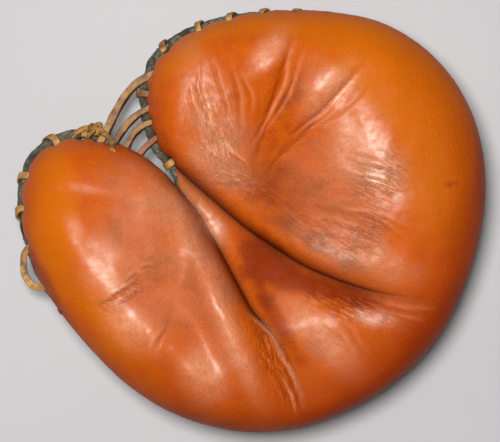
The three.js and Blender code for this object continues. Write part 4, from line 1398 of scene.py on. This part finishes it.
make_lace("web_knot", knot_stations(), True, 3.0, tan_rawhide, 11.0)
for number, (name, width, rows) in enumerate(KNOT_ENDS):
    x, y, over, on_thumb = np.array(rows, float).T
    height = np.where(on_thumb > 0, lobe_height(x, y, THUMB_LINE), WELT_HEIGHT) + over
    stations = [(np.column_stack([x, y, height]), np.tile(KNOT_END_FACING, (len(rows), 1)))]
    make_lace(name, stations, False, width, tan_rawhide, 12.0 + number)

# The wrist strap and its studs
# A band of the back's leather across the wrist opening, which lies on the inside of the back and
# is held by a plain stud at each end. Nothing of it shows in the photograph.
# how far in from the strap's edge and how high: its outline, with a stitched groove along it
STRAP_PROFILE = [(0.5, 0), (0, 0.5), (0, 1.7), (0.5, 2.2), (1.6, 2.2), (2.4, 2), (3.2, 2.2)]
STRAP_TURN_STEPS = 24
STUD_SHANK, STUD_HEAD_TALL = 2.2, 2.0
STUD_SEGMENTS = 40
STUD_BRASS = srgb(150, 120, 70)
STUD_TARNISH = srgb(70, 52, 34)


def node_box(node):
    return [np.array(corner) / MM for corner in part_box(node)]


def build_strap():
    """A flat band with round ends."""
    low, high = node_box("wrist_strap")
    radius = (high[1] - low[1]) / 2
    middle_y = (high[1] + low[1]) / 2
    turns = np.array([math.pi * step / STRAP_TURN_STEPS for step in range(STRAP_TURN_STEPS + 1)])
    out, along = radius * np.sin(turns), radius * np.cos(turns)
    right = np.column_stack([high[0] - radius + out, middle_y - along])
    left = np.column_stack([low[0] + radius - out, middle_y + along])
    flat = np.vstack([right, left]) - SHIFT
    centre = np.clip(flat[:, 0], low[0] + radius - SHIFT[0], high[0] - radius - SHIFT[0])
    inward = np.column_stack([centre, np.full(len(flat), middle_y - SHIFT[1])]) - flat
    skin = Skin()
    skin.loft([
        skin.level(flat + inward / radius * inset, low[2] + height)
        for inset, height in STRAP_PROFILE
    ])
    return skin.to_object("strap_leather")


def build_stud(node):
    """A shank through the strap, and a low domed head turned in one piece with it."""
    low, high = node_box(node)
    centre = (low + high)[:2] / 2 - SHIFT
    radius = (high[0] - low[0]) / 2
    head = high[2] - STUD_HEAD_TALL
    profile = [
        (STUD_SHANK, low[2]),
        (STUD_SHANK, head),
        (radius - 0.4, head),
        (radius, head + 0.4),
        (radius, head + 0.9),
        (radius - 0.8, head + 1.5),
        (radius - 2.2, head + 1.85),
        (1.2, high[2]),
    ]
    turns = np.linspace(0, 2 * math.pi, STUD_SEGMENTS, endpoint=False)
    circle = np.column_stack([np.cos(turns), np.sin(turns)])
    skin = Skin()
    skin.loft([skin.level(centre + reach * circle, height) for reach, height in profile])
    return skin.to_object(node + "_brass")


def stud_metal():
    shade = Shade("tarnished_brass")
    tarnish = shade.noise(400.0, 5.0, 0.7).clamped(0.42, 0.66)
    color = shade.mix(tarnish, STUD_BRASS, STUD_TARNISH)
    return shade.finish(color, 0.35 + tarnish * 0.3, tarnish, 0.1, 0.0002, Metallic=0.85)


strap = build_strap()
strap.data.materials.append(back_finish)
belongs(strap, "wrist_strap")
stud_finish = stud_metal()
for node in ("stud_left", "stud_right"):
    stud = build_stud(node)
    stud.data.materials.append(stud_finish)
    belongs(stud, node)

# The floor, the light and the camera
# A plain pale table under the mitt, a soft lamp beside the lens up and to the left, a weaker one
# opposite, and a camera that looks straight down as the photographer did.
FLOOR_GREY = srgb(206, 206, 212)
FLOOR_SHADE = srgb(190, 190, 196)
FLOOR_SIZE = 6.0
LAMP_TARGET = (0, 0, 0.05)
# place, size, power, color
LAMPS = {
    "lens_lamp": ((-0.1, 0.11, 1.16), 0.3, 13.6, (1.0, 0.97, 0.92)),
    "side_lamp": ((-1.4, 0.9, 1.3), 1.4, 2.4, (1.0, 0.99, 0.97)),
    "far_lamp": ((1.2, -1.3, 1.3), 1.4, 0.9, (1.0, 0.98, 0.96)),
}
ROOM_COLOR, ROOM_LIGHT = (1.0, 0.98, 0.95, 1.0), 0.07
CAMERA_HEIGHT = 1.05
SENSOR = 36.0
LEVEL_SEEN = 46.0 * MM  # the height at which the outline is seen
MM_PER_PIXEL = 0.614
PHOTO_WIDTH, PHOTO_HEIGHT = 500, 442
MIDDLE_IN_PHOTO = (251.0, 221.0)  # the pixel that the tables above are measured from


def floor_paper():
    shade = Shade("pale_table")
    cloud = shade.noise(3.0, 3.0)
    color = shade.mix(cloud.clamped(0.3, 0.7) * 0.25, FLOOR_GREY, FLOOR_SHADE)
    return shade.finish(color, 0.75, shade.noise(700.0, 2.0), 0.05, 0.0002)


bpy.ops.mesh.primitive_plane_add(size=FLOOR_SIZE)
floor = bpy.context.object
floor.name = "floor"
floor.data.materials.append(floor_paper())

for name, (place, size, power, color) in LAMPS.items():
    data = bpy.data.lights.new(name, "AREA")
    data.shape, data.size, data.energy, data.color = "DISK", size, power, color
    lamp = bpy.data.objects.new(name, data)
    lamp.location = place
    toward = Vector(LAMP_TARGET) - Vector(place)
    lamp.rotation_euler = toward.to_track_quat("-Z", "Y").to_euler()
    bpy.context.scene.collection.objects.link(lamp)
world = bpy.data.worlds.new("room")
world.use_nodes = True
room = world.node_tree.nodes["Background"].inputs
room["Color"].default_value, room["Strength"].default_value = ROOM_COLOR, ROOM_LIGHT
bpy.context.scene.world = world
bpy.context.scene.view_settings.view_transform = "Standard"

camera_data = bpy.data.cameras.new("camera")
camera_data.sensor_width = SENSOR
frame_width = PHOTO_WIDTH * MM_PER_PIXEL * MM
camera_data.lens = SENSOR * (CAMERA_HEIGHT - LEVEL_SEEN) / frame_width
camera = bpy.data.objects.new("camera", camera_data)
camera_x = SHIFT[0] + (PHOTO_WIDTH / 2 - MIDDLE_IN_PHOTO[0]) * MM_PER_PIXEL
camera_y = SHIFT[1] + (MIDDLE_IN_PHOTO[1] - PHOTO_HEIGHT / 2) * MM_PER_PIXEL
camera.location = (camera_x * MM, camera_y * MM, CAMERA_HEIGHT)
bpy.context.scene.collection.objects.link(camera)
bpy.context.scene.camera = camera
